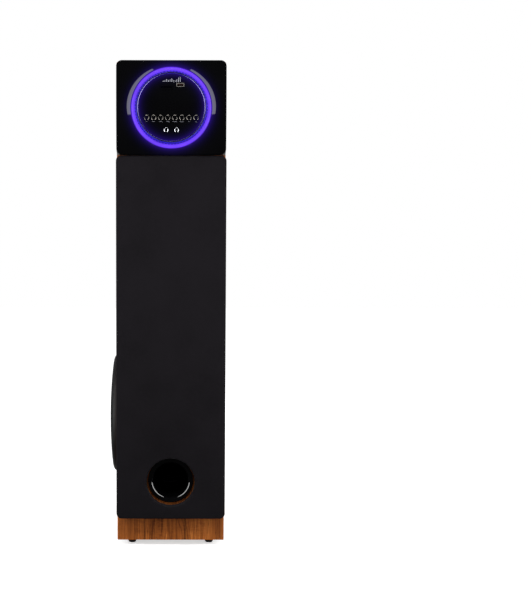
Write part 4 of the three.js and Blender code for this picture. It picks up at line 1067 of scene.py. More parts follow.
@dataclass
class Cabinet:
    """The folded wooden body: sides, front, top, back, the boards inside and the feet."""

    places: Layout
    wall: float = 15.0 * MM
    fold_radius: float = 1.6 * MM
    seam: float = 0.3 * MM
    woofer_hole: float = 114.6
    port_hole: float = 38.8
    mid_hole: float = 46.3
    tweeter_hole: float = 30.3
    cable_hole: float = 20.0
    peg_hole: float = 3.9
    peg_depth: float = 8.3
    foot_profile: Profile = (
        (0.0, 0.0), (6.4, 0.0), (7.4, 0.5), (8.4, 2.6), (9.0, 5.0), (9.2, 7.2), (9.0, 9.4),
        (8.6, 10.4), (8.6, 12.7), (0.0, 12.7))

    def build(self) -> None:
        """Builds the whole cabinet."""
        self.make_boards()
        self.make_top()
        self.make_back()
        self.make_feet()
        dress_node("bottom_panel", MDF)
        dress_node("brace_shelf", MDF)

    def make_boards(self) -> None:
        """The sides and the front, cut from one folded shell along its mitres."""
        p = self.places
        outer = block("fold", (p.middle_x - p.half_width, p.baffle_y, p.bottom_z),
                      (p.middle_x + p.half_width, p.back_y, p.top_z))
        bevel(outer, self.fold_radius, 3, lambda s: abs(s.way.z) > 0.99
              and s.at.y < p.baffle_y + MERGE)
        inner = block("room", (p.middle_x - p.half_width + self.wall, p.baffle_y + self.wall, 0.0),
                      (p.middle_x + p.half_width - self.wall, p.back_y + self.wall, 2.0 * p.top_z))
        shell = subtract(outer, inner, *self.front_drills(), self.side_drill())
        middle = Vector((p.middle_x, p.baffle_y, 0.0))
        left = middle + LEFT * p.half_width
        right = middle - LEFT * p.half_width
        boards = {
            "side_panel_left": ("cabinet_side_left", ((left, (-1.0, 1.0, 0.0)), (middle, LEFT))),
            "side_panel_right": ("cabinet_side_right", ((right, (1.0, 1.0, 0.0)),
                                                        (middle, -LEFT))),
            "front_baffle": ("cabinet_front", ((left, (1.0, -1.0, 0.0)),
                                               (right, (-1.0, -1.0, 0.0)))),
        }
        for node, (name, cuts) in boards.items():
            board = copy_at(shell, name, Vector())
            for corner, keep in cuts:
                self.cut_away(board, corner, Vector(keep))
            deliver(board, "cabinet", VENEER, [node])
        bpy.data.objects.remove(shell)

    def cut_away(self, board: bpy.types.Object, corner: Vector, keep: Vector) -> None:
        """Cuts a board along a plane and closes the cut.

        Args:
            board: The board.
            corner: A point on the plane.
            keep: The direction of the half that stays.
        """
        pick(board, Kind.FACE, lambda s: True)
        bpy.ops.mesh.select_all(action="SELECT")
        bpy.ops.mesh.bisect(plane_co=corner, plane_no=-keep.normalized(), use_fill=True,
                            clear_outer=True)
        tidy_edit()

    def front_drills(self) -> list[bpy.types.Object]:
        """The tools for the holes in the front."""
        depth = self.wall / MM + 5.0

        def drill(radius: float, at: Vector, reach: float) -> bpy.types.Object:
            """A round tool from in front of the face to a depth behind it."""
            start = Vector((at.x, self.places.baffle_y, at.z))
            return turn("drill", ((0.0, -5.0), (radius, -5.0), (radius, reach), (0.0, reach)),
                        BACK, start, 64)

        tools = [
            drill(self.port_hole, centre_of("port_tube"), depth),
            drill(self.mid_hole, centre_of("mid_upper_basket"), depth),
            drill(self.mid_hole, centre_of("mid_lower_basket"), depth),
            drill(self.tweeter_hole, centre_of("tweeter_dome"), depth),
            drill(self.cable_hole, RING_AT, depth)]
        for step in PEG_STEPS:
            for height in PEG_HEIGHTS:
                at = Vector((self.places.middle_x + step * MM, 0.0, height * MM))
                tools.append(drill(self.peg_hole, at, self.peg_depth))
        return tools

    def side_drill(self) -> bpy.types.Object:
        """The tool for the bass driver's hole in the left side."""
        at = centre_of("woofer_cover_mesh")
        start = Vector((self.places.middle_x - self.places.half_width, at.y, at.z))
        reach = self.wall / MM + 5.0
        return turn("drill", ((0.0, 5.0), (self.woofer_hole, 5.0), (self.woofer_hole, -reach),
                              (0.0, -reach)), LEFT, start, 96)

    def make_top(self) -> None:
        """The top board between the folded edges."""
        low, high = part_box("top_panel")
        top = slab("cabinet_top", low, high, UP, 0.4 * MM, 0.5 * MM, ends=(1,),
                   corner_segments=2, edge_segments=2)
        deliver(top, "cabinet", TOP_VENEER, ["top_panel"])

    def make_back(self) -> None:
        """The black back board, with its cut-out for the amplifier."""
        low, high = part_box("back_panel")
        back = slab("cabinet_back", low, high, BACK, 0.5 * MM, 0.8 * MM, ends=(1,),
                    corner_segments=2, edge_segments=2)
        plate_low, plate_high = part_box("amplifier_plate")
        lap = Vector((12.0 * MM, 0.0, 12.0 * MM))
        window = block("window", Vector((plate_low.x, low.y - OVERRUN, plate_low.z)) + lap,
                       Vector((plate_high.x, high.y + OVERRUN, plate_high.z)) - lap)
        subtract(back, window)
        deliver(back, "cabinet", BLACK_FOIL, ["back_panel"])

    def make_feet(self) -> None:
        """Four moulded rubber feet, turned once and copied."""
        names = ("foot_front_left", "foot_front_right", "foot_rear_left", "foot_rear_right")
        first = centre_of(names[0])
        start = Vector((first.x, first.y, 0.0))
        foot = turn("rubber_" + names[0], self.foot_profile, UP, start, 40)
        feet = [foot] + [copy_at(foot, "rubber_" + name, centre_of(name) - first)
                         for name in names[1:]]
        for obj, name in zip(feet, names):
            deliver(obj, "cabinet", RUBBER, [name])


# ------------------------------------------------------------------ drivers


@dataclass(frozen=True)
class DriverShape:
    """One cone driver along its own axis, in millimetres; positive runs into the cabinet."""

    flange: float
    seat: float
    flange_thickness: float
    cone: float
    depth: float
    coil: float
    roll: float
    cap: float
    sheet: float
    metal: float
    basket: float
    travel: float
    screws: int
    steps: int
    seam: float = 0.3

    def surround(self) -> Profile:
        """The half-roll between flange and cone, clear of the cone's edge as it moves."""
        seat = -self.flange_thickness - 2.0 * self.seam
        rim = self.seat - 2.0 * self.metal
        inner = self.cone + self.seam
        middle, half = (rim + inner) / 2.0, (rim - inner) / 2.0
        landing = 4.0 * self.sheet

        def roll(extra: float, offset: float) -> list[tuple[float, float]]:
            """The arc of one skin, from the outside in."""
            return [(middle + (half + extra) * math.cos(a),
                     offset - (self.roll + extra) * math.sin(a))
                    for a in (math.pi * i / 12 for i in range(13))]

        return [(rim + landing, seat), (rim + landing, seat - self.sheet),
                *roll(0.0, seat - self.sheet), *reversed(roll(-self.sheet, seat))]

    def moving(self) -> Profile:
        """Cone, cap and coil former."""
        front = -self.flange_thickness - self.seam
        neck = self.coil + 2.0
        cap_foot = self.depth * 0.62
        cap_radius = neck + (self.cone - neck) * (1.0 - cap_foot / self.depth) * 0.9
        cap = [(cap_radius * math.sin(a), cap_foot - self.cap * math.cos(a))
               for a in (math.pi / 2.0 * i / 8 for i in range(9))]
        end = self.basket + self.travel
        bore = self.coil - self.sheet
        return [*cap, (self.cone - self.sheet * 3.0, front), (self.cone, front),
                (self.cone, front + self.sheet), (neck, self.depth),
                (self.coil, self.depth + self.sheet), (self.coil, end), (bore, end),
                (bore, self.depth), (cap_radius * 0.5, cap_foot - self.cap * 0.7),
                (0.0, cap_foot - self.cap + self.sheet)]

    def trim(self) -> Profile:
        """The face of the basket's flange."""
        face = -self.flange_thickness - self.seam
        rim = self.seat - 2.0 * self.metal
        return [(self.flange, -self.seam), (self.flange, face + 0.8), (self.flange - 0.8, face),
                (rim + 0.4, face), (rim, face + 0.4), (rim, -self.seam)]


WOOFER = DriverShape(flange=122.0, seat=114.0, flange_thickness=3.0, cone=96.0, depth=38.0,
                     coil=25.0, roll=7.0, cap=12.0, sheet=1.2, metal=2.4, basket=74.0, travel=6.0,
                     screws=8, steps=96)
MIDRANGE = DriverShape(flange=52.0, seat=46.0, flange_thickness=2.5, cone=36.0, depth=16.0,
                       coil=10.5, roll=3.0, cap=5.0, sheet=0.8, metal=1.6, basket=32.0,
                       travel=2.0, screws=4, steps=72)


@dataclass
class ConeDriver:
    """One cone driver: smooth moving parts and surround, and the CAD basket and magnet."""

    name: str
    shape: DriverShape
    inward: Vector
    centre: Vector

    def build(self) -> None:
        """Builds the driver's pieces."""
        moving = turn(f"{self.name}_cone_and_cap", self.shape.moving(), self.inward, self.centre,
                      self.shape.steps)
        deliver(moving, f"{self.name}_cone", PAPER, [f"{self.name}_cone"])
        roll = turn(f"{self.name}_roll", self.shape.surround(), self.inward, self.centre,
                    self.shape.steps, closed=True)
        deliver(roll, "cabinet", RUBBER, [f"{self.name}_surround"])
        dress_node(f"{self.name}_basket", POWDER)
        dress_node(f"{self.name}_magnet", FERRITE)
        self.make_screws()

    def make_screws(self) -> None:
        """The countersunk screws round the flange."""
        radius = (self.shape.flange + self.shape.seat) / 2.0
        face = -self.shape.flange_thickness - self.shape.seam
        side = self.inward.cross(UP).normalized()
        heads = []
        for i in range(self.shape.screws):
            angle = 2.0 * math.pi * (i + 0.5) / self.shape.screws
            way = UP * math.cos(angle) + side * math.sin(angle)
            at = self.centre + way * (radius * MM) + self.inward * (face * MM)
            heads.append(screw_head(at, -self.inward, 2.6))
        deliver(unite(f"{self.name}_screws", heads), "cabinet", STEEL)


def screw_head(at: Vector, out: Vector, radius: float) -> bpy.types.Object:
    """A pan-head screw with a cross recess.

    Args:
        at: The middle of its seat.
        out: The way it faces.
        radius: The head's radius in millimetres.

    Returns:
        The screw head.
    """
    rise = radius * 0.45
    head = turn("screw", [(0.0, -0.05), (radius, -0.05), (radius, rise * 0.4),
                          (radius * 0.8, rise * 0.8), (radius * 0.45, rise), (0.0, rise)],
                out, at, 14)
    side = out.cross(UP)
    side = side.normalized() if side.length > 0.1 else Vector((1.0, 0.0, 0.0))
    up = out.cross(side)
    for way, other in ((side, up), (up, side)):
        reach = way * (radius * 0.55 * MM) + other * (radius * 0.11 * MM)
        spread = Vector([abs(c) for c in reach])
        top = at + out * (rise * MM * 1.5)
        foot = at + out * (rise * MM * 0.45)
        low = Vector([min(a, b) for a, b in zip(top, foot)]) - spread
        high = Vector([max(a, b) for a, b in zip(top, foot)]) + spread
        subtract(head, block("cross", low, high))
    return head


@dataclass
class FrontDrivers:
    """The two midrange drivers and the tweeter behind the grille."""

    places: Layout
    plate_profile: Profile = (
        (42.0, -0.3), (42.0, -2.5), (41.4, -3.1), (40.6, -3.3), (24.5, -3.3), (23.0, -3.0),
        (18.0, -2.2), (14.6, -1.2), (14.0, -0.9), (14.0, -0.3))
    dome_radius: float = 12.5
    dome_height: float = 5.0

    def build(self) -> None:
        """Builds the three drivers."""
        for name in ("mid_upper", "mid_lower"):
            at = centre_of(f"{name}_basket")
            centre = Vector((at.x, self.places.baffle_y, at.z))
            ConeDriver(name, MIDRANGE, BACK, centre).build()
        self.make_tweeter()

    def make_tweeter(self) -> None:
        """The tweeter's shallow horn plate and its coated dome."""
        at = centre_of("tweeter_dome")
        centre = Vector((at.x, self.places.baffle_y, at.z))
        plate = turn("tweeter_horn_plate", self.plate_profile, BACK, centre, 72, closed=True)
        deliver(plate, "cabinet", TEXTURED, ["tweeter_plate"])
        skin, base = 0.8, -1.3

        def cap(radius: float, height: float, foot: float) -> list[tuple[float, float]]:
            """The arc of one skin of the dome."""
            return [(radius * math.sin(a), foot - height * math.cos(a))
                    for a in (math.pi / 2.0 * i / 10 for i in range(11))]

        profile = [*cap(self.dome_radius, self.dome_height, base), (self.dome_radius, base + 1.0),
                   *reversed(cap(self.dome_radius - skin, self.dome_height - skin, base + 1.0))]
        dome = turn("tweeter_silk_dome", profile, BACK, centre, 48)
        deliver(dome, "tweeter_dome", SILK, ["tweeter_dome"])
        dress_node("tweeter_magnet", FERRITE)


@dataclass
class BassUnit:
    """The side-firing bass driver under its domed mesh."""

    places: Layout
    radius: float = 129.0
    height: float = 21.4
    mesh_radius: float = 120.2
    wire: float = 1.25
    steel: float = 0.55
    cells: int = 58
    fall: float = 8.0
    edge_fall: float = 1.5
    edge_power: int = 24

    def build(self) -> None:
        """Builds driver, rim and mesh."""
        at = centre_of("woofer_cover_mesh")
        centre = Vector((self.places.middle_x - self.places.half_width, at.y, at.z))
        ConeDriver("woofer", WOOFER, -LEFT, centre).build()
        self.make_rim(centre)
        self.make_mesh(centre)

    def rise(self, radius: float) -> float:
        """The dome's height at a radius: a shallow crown that falls away at the rim."""
        share = radius / self.radius
        return self.height - self.fall * share ** 2 - self.edge_fall * share ** self.edge_power

    def make_rim(self, centre: Vector) -> None:
        """The moulded rim that the mesh is clipped into."""
        seat = self.rise(self.mesh_radius)
        lip = [(self.radius, 0.3), (self.radius, 6.0), (self.radius - 0.3, 8.0),
               (self.radius - 1.0, 9.8), (self.radius - 2.1, 11.2), (self.radius - 3.6, 12.3),
               (self.radius - 5.6, 13.2), (self.mesh_radius + 0.9, seat - 0.1),
               (self.mesh_radius + 0.3, seat - 0.6), (self.mesh_radius + 0.3, seat - 1.6),
               (self.mesh_radius - 4.0, seat - 1.8), (self.mesh_radius - 4.0, seat - 3.2),
               (self.radius - 4.4, 8.6), (self.radius - 2.4, 6.0), (self.radius - 2.4, 0.3)]
        rim = turn("bass_cover_rim", lip, LEFT, centre, 128, closed=True)
        deliver(rim, "cabinet", TEXTURED, ["woofer_cover_ring"])

    def make_mesh(self, centre: Vector) -> None:
        """The domed steel mesh: a round piece of grid, pressed to shape, with real openings."""
        leave_edit()
        bpy.ops.object.select_all(action="DESELECT")
        size = 2.0 * self.mesh_radius * MM
        bpy.ops.mesh.primitive_grid_add(x_subdivisions=self.cells, y_subdivisions=self.cells,
                                        size=size)
        mesh = bpy.context.object
        mesh.name = mesh.data.name = "bass_cover_mesh"
        limit = (self.mesh_radius - 0.2) * MM
        take(mesh)
        bpy.ops.object.mode_set(mode="EDIT")
        bpy.ops.mesh.select_all(action="SELECT")
        bpy.ops.transform.rotate(value=math.radians(45.0), orient_axis="Z",
                                 center_override=(0.0, 0.0, 0.0))
        leave_edit()
        pick(mesh, Kind.FACE, lambda s: s.at.to_2d().length > limit)
        bpy.ops.mesh.delete(type="FACE")
        leave_edit()
        edge = set()
        counts: dict[tuple[int, int], int] = {}
        for face in mesh.data.polygons:
            for key in face.edge_keys:
                counts[key] = counts.get(key, 0) + 1
        for key, count in counts.items():
            if count == 1:
                edge.update(key)
        for vert in mesh.data.vertices:
            flat = vert.co.to_2d()
            if vert.index in edge:
                flat = flat.normalized() * limit
            rise = (self.rise(flat.length / MM) - self.steel) * MM
            vert.co = centre + Vector((0.0, flat.x, flat.y)) + LEFT * rise
        apply_modifier(mesh, "WIREFRAME", thickness=self.wire * MM, use_replace=True,
                       use_even_offset=False, use_boundary=True)
        deliver(mesh, "cabinet", POWDER, ["woofer_cover_mesh"])


# ------------------------------------------------------------------ port


@dataclass
class Port:
    """The flared reflex port in gloss black."""

    places: Layout
    bore: float = 36.0
    wall: float = 2.5
    flange: float = 47.0
    rise: float = 4.5
    length: float = 122.0
    flare: float = 6.0

    def build(self) -> None:
        """Turns the port."""
        at = centre_of("port_tube")
        centre = Vector((at.x, self.places.baffle_y, at.z))
        throat = ring_points(self.bore + self.flare, self.flare - self.rise, self.flare,
                             180.0, 270.0, 14)
        lip = ring_points(self.flange - 2.2, 2.2 - self.rise, 2.2, 270.0, 360.0, 6)
        outer = self.bore + self.wall
        profile = [(outer, -0.3), (outer, self.length), (self.bore, self.length), *throat,
                   *lip, (self.flange, -0.3)]
        port = turn("reflex_port", profile, BACK, centre, 120, closed=True)
        deliver(port, "cabinet", PORT_GLOSS, ["port_tube"])


# ------------------------------------------------------------------ grille


@dataclass
class Grille:
    """The pull-off grille: stretched cloth over a board frame with four pegs."""

    places: Layout
    cloth: float = 0.8
    corner: float = 11.0
    fold: float = 2.4
    hem: float = 9.0
    port_radius: float = 49.5
    mouth_round: float = 3.6
    mouth_reach: float = 60.0

    def build(self) -> None:
        """Builds the cloth and the collars of the pegs, and dresses the frame."""
        self.make_cloth()
        dress_node("grille_frame", FRAME_BOARD)
        self.make_cups()

    def port_tool(self, radius: float, low: Vector, high: Vector) -> bpy.types.Object:
        """A round tool through the grille where the port is."""
        at = centre_of("port_tube")
        span = (high.y - low.y) / MM + 10.0
        start = Vector((at.x, low.y - 5.0 * MM, at.z))
        return turn("port_tool", ((0.0, 0.0), (radius, 0.0), (radius, span), (0.0, span)),
                    BACK, start, 96)

    def make_cloth(self) -> None:
        """The cloth: folded over the frame's edges, in at the port hole, and glued behind."""
        low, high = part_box("grille_cloth")
        skin = self.cloth * MM
        hem = self.hem * MM
        cloth = slab("grille_stretched_cloth", low, high, BACK, self.corner * MM,
                     self.fold * MM, ends=(-1,), corner_segments=8, edge_segments=4)
        subtract(cloth, self.port_tool(self.port_radius, low, high))
        port = centre_of("port_tube")
        bevel(cloth, self.mouth_round * MM, 5,
              lambda s: s.fold > 1.0 and s.at.y < low.y + MERGE
              and (s.at - port).xz.length < self.mouth_reach * MM)
        inset = Vector((skin, skin, skin))
        pocket = slab("pocket", low + inset, high - inset, BACK, (self.corner - self.cloth) * MM,
                      (self.fold - 0.4) * MM, ends=(-1,), corner_segments=8, edge_segments=4)
        subtract(pocket, self.port_tool(self.port_radius + self.cloth, low, high))
        mouth = slab("mouth", Vector((low.x + hem, high.y - 2.0 * skin, low.z + hem)),
                     Vector((high.x - hem, high.y + 5.0 * MM, high.z - hem)), BACK, 2.0 * MM)
        subtract(mouth, self.port_tool(self.port_radius + self.cloth, low, high))
        subtract(cloth, pocket, mouth)
        deliver(cloth, "grille", CLOTH, ["grille_cloth"])

    def make_cups(self) -> None:
        """The rubber collars round the four pegs."""
        collars = []
        for step in PEG_STEPS:
            for height in PEG_HEIGHTS:
                at = self.places.front(step * MM, 12.0 * MM, height * MM)
                collars.append(turn("collar", ((3.6, 0.0), (6.5, 0.0), (6.5, 2.2), (5.6, 3.0),
                                               (3.6, 3.0)), BACK, at, 24, closed=True))
        deliver(unite("grille_peg_collars", collars), "grille", RUBBER)


# ------------------------------------------------------------------ head


@dataclass
class Head:
    """The gloss head: crowned housing with a dish, light ring, bright trim and control disc."""

    places: Layout
    depth_bottom: float = 27.0
    depth_top: float = 29.0
    crown: float = 5.2
    corner: float = 11.5
    edge: float = 1.1
    well: float = 81.8
    dish_foot: float = 28.2
    dish_slope: float = 0.7
    pocket_depth: float = 4.0
    disc_depth: float = 32.2
    disc_radius: float = 67.0
    button_hole: float = 4.6
    jack_hole: float = 4.7
    rows: int = 28
    bars: Sequence[float] = (2.2, 3.6, 5.6, 3.0, 4.6, 6.4, 3.8, 2.6, 4.4, 7.8, 9.6)
    marks: Sequence[float] = (2.2, 6.2, 6.6, 7.2, 8.4, 8.0, 2.6, 3.0)

    def build(self) -> None:
        """Builds the head's pieces."""
        self.make_housing()
        self.make_ring()
        self.make_disc()
        self.make_buttons()
        self.make_jacks()
        self.make_usb()
        self.make_prints()
        dress_node("card_slot", GLOSS)
        dress_node("light_board", CIRCUIT)
        dress_node("control_board", CIRCUIT)

    def depth_at(self, z: float, low: float, high: float) -> float:
        """How far the face stands in front of the baffle at a height, in metres."""
        share = (z - low) / (high - low)
        chord = self.depth_bottom + (self.depth_top - self.depth_bottom) * share
        return (chord + 4.0 * self.crown * share * (1.0 - share)) * MM

    def make_housing(self) -> None:
        """The housing: rounded in front, square behind, crowned, and hollowed by the dish."""
        low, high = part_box("head_housing")
        front = self.places.baffle_y - self.depth_bottom * MM
        shell = block("head_shell", (low.x, front, low.z), (high.x, high.y, high.z))
        bevel(shell, self.corner * MM, 8, lambda s: abs(s.way.y) > 0.99)
        reach = self.corner * MM + MERGE
        middle = (low + high) / 2.0
        for vert in shell.data.vertices:
            beside = vert.co.x - middle.x
            above = vert.co.z - middle.z
            at_corner = (abs(beside) > (high.x - low.x) / 2.0 - reach
                         and abs(above) > (high.z - low.z) / 2.0 - reach)
            if vert.co.y > high.y - MERGE and at_corner:
                vert.co.x = high.x if beside > 0.0 else low.x
                vert.co.z = high.z if above > 0.0 else low.z
        pick(shell, Kind.VERT, lambda s: True)
        tidy_edit()
        levels = sorted({round(v.co.z, 6) for v in shell.data.vertices})
        span = high.z - low.z - 2.0 * self.corner * MM
        straight = [low.z + self.corner * MM + span * i / self.rows
                    for i in range(1, self.rows)]
        pick(shell, Kind.FACE, lambda s: True)
        for level in levels[1:-1] + straight:
            bpy.ops.mesh.select_all(action="SELECT")
            bpy.ops.mesh.bisect(plane_co=(0.0, 0.0, level), plane_no=UP)
        leave_edit()
        for vert in shell.data.vertices:
            if vert.co.y < front + MERGE:
                vert.co.y = self.places.baffle_y - self.depth_at(vert.co.z, low.z, high.z)
        pick(shell, Kind.VERT, lambda s: True)
        tidy_edit()
        limit = self.places.baffle_y - 0.75 * self.depth_bottom * MM
        bevel(shell, self.edge * MM, 3, lambda s: s.fold > 0.5 and s.at.y < limit
              and abs(s.way.y) < 0.5)
        subtract(shell, self.dish_tool())
        deliver(shell, "cabinet", GLOSS, ["head_housing"])

    def dish_tool(self) -> bpy.types.Object:
        """The tool that cuts the dish and the pocket behind it."""
        mouth = 38.0
        edge = self.well + 0.3 + (mouth - self.dish_foot) / self.dish_slope
        profile = [(0.0, self.pocket_depth), (self.well, self.pocket_depth),
                   (self.well, self.dish_foot - 0.5), (self.well + 0.3, self.dish_foot),
                   (self.well + 0.6, self.dish_foot + 0.3 * self.dish_slope),
                   (edge, mouth), (0.0, mouth)]
        return turn("dish_tool", profile, FRONT, self.hub(), 144)

    def hub(self) -> Vector:
        """The middle of the disc, on the baffle's face."""
        return Vector((RING_AT.x, self.places.baffle_y, RING_AT.z))

    def make_ring(self) -> None:
        """The lit ring and the bright trim on its crest."""
        ring = turn("light_ring_diffuser", [
            (81.5, 21.0), (81.5, 24.3), (81.2, 24.9), (80.2, 25.6), (78.6, 26.2), (76.8, 26.5),
            (75.0, 26.5), (73.7, 26.2), (72.9, 25.8), (72.4, 25.9), (71.4, 28.0), (70.6, 30.2),
            (70.2, 31.4), (70.0, 31.6), (68.9, 31.6), (68.9, 21.0)],
            FRONT, self.hub(), 144, closed=True)
        deliver(ring, "cabinet", GLOW, ["light_ring"])
        trim = turn("bright_trim_ring", [
            (67.4, 31.9), (70.0, 31.9), (70.0, 32.25), (69.6, 32.65), (68.9, 32.75),
            (68.2, 32.65), (67.7, 32.4), (67.4, 32.2)], FRONT, self.hub(), 144, closed=True)
        deliver(trim, "cabinet", TRIM_METAL, ["trim_ring"])

    def make_disc(self) -> None:
        """The control disc: a thin gloss plate with a skirt, drilled for what stands in it."""
        r, d = self.disc_radius, self.disc_depth
        disc = turn("control_disc_plate", [
            (0.0, d), (r - 0.9, d), (r - 0.3, d - 0.25), (r, d - 0.8), (r, 20.0), (r - 3.0, 20.0),
            (r - 3.0, d - 2.5), (0.0, d - 2.5)], FRONT, self.hub(), 144)
        tools = []
        for i in range(8):
            at = centre_of(f"button_{i + 1}")
            tools.append(self.bore(at, self.button_hole))
        for node in ("microphone_jack_left", "microphone_jack_right"):
            tools.append(self.bore(centre_of(node), self.jack_hole))
        for node, half_x, half_z in (("usb_port", 7.2, 3.4), ("card_slot", 12.0, 2.3)):
            at = centre_of(node)
            y = self.places.baffle_y
            tools.append(block("socket_tool",
                               (at.x - half_x * MM, y - 40.0 * MM, at.z - half_z * MM),
                               (at.x + half_x * MM, y - 28.0 * MM, at.z + half_z * MM)))
        subtract(disc, *tools)
        deliver(disc, "cabinet", GLOSS, ["control_disc"])

    def bore(self, at: Vector, radius: float) -> bpy.types.Object:
        """A round tool through the disc."""
        start = Vector((at.x, self.places.baffle_y, at.z))
        return turn("bore", ((0.0, 28.0), (radius, 28.0), (radius, 40.0), (0.0, 40.0)),
                    FRONT, start, 32)

    def make_buttons(self) -> None:
        """Eight gloss black buttons, each in a smoked nickel bezel with an outward chamfer."""
        first = centre_of("button_1")
        centre = Vector((first.x, self.places.baffle_y, first.z))
        face = self.disc_depth + 1.2
        profile = [(0.0, face), (2.0, face - 0.05), (3.2, face - 0.2), (3.9, face - 0.5),
                   (4.2, face - 1.0), (4.2, 29.4), (5.1, 29.4), (5.1, 28.4), (2.0, 28.4),
                   (2.0, 24.5), (0.0, 24.5)]
        cap = turn("button_cap_1", profile, FRONT, centre, 36)
        caps = [cap] + [copy_at(cap, f"button_cap_{i}", centre_of(f"button_{i}") - first)
                        for i in range(2, 9)]
        for i, obj in enumerate(caps, start=1):
            deliver(obj, f"button_{i}", GLOSS, [f"button_{i}"])
        disc = self.disc_depth
        bezel = turn("bezel", [(4.42, disc - 0.5), (4.42, disc + 0.4), (4.55, disc + 0.45),
                               (5.1, disc + 0.06), (5.1, disc - 0.5)],
                     FRONT, centre, 36, closed=True)
        bezels = [bezel] + [copy_at(bezel, "bezel", centre_of(f"button_{i}") - first)
                            for i in range(2, 9)]
        deliver(unite("button_bezels", bezels), "cabinet", SMOKED)

    def make_jacks(self) -> None:
        """The two microphone jacks: a chromed nut with a dark bore."""
        for side in ("left", "right"):
            node = f"microphone_jack_{side}"
            at = centre_of(node)
            centre = Vector((at.x, self.places.baffle_y, at.z))
            nut = turn(f"{node}_nut", [
                (3.1, 33.9), (3.2, 34.2), (3.4, 34.3), (3.6, 34.25), (4.9, 33.35), (5.0, 33.2),
                (5.0, 32.5), (4.4, 32.5), (4.4, 29.4), (6.0, 29.4), (6.0, 8.3), (3.1, 8.3)],
                FRONT, centre, 40, closed=True)
            deliver(nut, "cabinet", CHROME, [node])
            core = turn(f"{node}_core", [(0.0, 8.6), (3.0, 8.6), (3.0, 12.0), (0.0, 12.0)],
                        FRONT, centre, 24)
            deliver(core, "cabinet", TEXTURED)

    def make_usb(self) -> None:
        """The USB socket: a folded steel shell with a rolled rim and its contact tongue."""
        low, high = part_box("usb_port")
        at = centre_of("usb_port")
        front = low.y
        rim = slab("usb_shell", (at.x - 7.7 * MM, front, at.z - 3.6 * MM),
                   (at.x + 7.7 * MM, front + 0.6 * MM, at.z + 3.6 * MM), BACK, 1.6 * MM,
                   0.25 * MM, ends=(-1,), corner_segments=4, edge_segments=2)
        body = slab("usb_body", (at.x - 6.9 * MM, front + 0.55 * MM, at.z - 3.1 * MM),
                    (at.x + 6.9 * MM, high.y, at.z + 3.1 * MM), BACK, 0.6 * MM,
                    corner_segments=3)
        hollow = slab("usb_hollow", (at.x - 6.5 * MM, front - 2.0 * MM, at.z - 2.7 * MM),
                      (at.x + 6.5 * MM, high.y - 0.7 * MM, at.z + 2.7 * MM), BACK, 0.4 * MM,
                      corner_segments=3)
        apply_modifier(rim, "BOOLEAN", operation="UNION", solver="EXACT", object=body)
        bpy.data.objects.remove(body)
        subtract(rim, hollow)
        deliver(rim, "cabinet", TINPLATE, ["usb_port"])
        tongue = slab("usb_tongue", (at.x - 5.4 * MM, front + 1.0 * MM, at.z - 0.3 * MM),
                      (at.x + 5.4 * MM, high.y - 0.6 * MM, at.z + 1.6 * MM), BACK, 0.3 * MM,
                      0.2 * MM, ends=(-1,), corner_segments=2, edge_segments=1)
        deliver(tongue, "cabinet", DARK_RED)

    def make_prints(self) -> None:
        """What is printed on the disc: bars above the sockets and a dash under each button."""
        y = self.places.baffle_y - self.disc_depth * MM
        thick = 0.06 * MM
        pitch = 3.4
        start = RING_AT.x + 0.7 * MM - pitch * (len(self.bars) - 1) / 2.0 * MM
        foot = RING_AT.z + 50.4 * MM
        bars = []
        for i, tall in enumerate(self.bars):
            x = start + i * pitch * MM
            bars.append(slab("bar", (x - 0.8 * MM, y - thick, foot),
                             (x + 0.8 * MM, y, foot + tall * MM), BACK, 0.4 * MM,
                             corner_segments=3))
        deliver(unite("printed_level_bars", bars), "cabinet", INK)
        dashes = []
        for i, wide in enumerate(self.marks):
            at = centre_of(f"button_{i + 1}")
            z = at.z - 8.0 * MM
            dashes.append(slab("dash", (at.x - wide / 2.0 * MM, y - thick, z - 0.5 * MM),
                               (at.x + wide / 2.0 * MM, y, z + 0.5 * MM), BACK, 0.3 * MM,
                               corner_segments=2))
        deliver(unite("printed_button_dashes", dashes), "cabinet", FAINT_INK)


# ------------------------------------------------------------------ amplifier


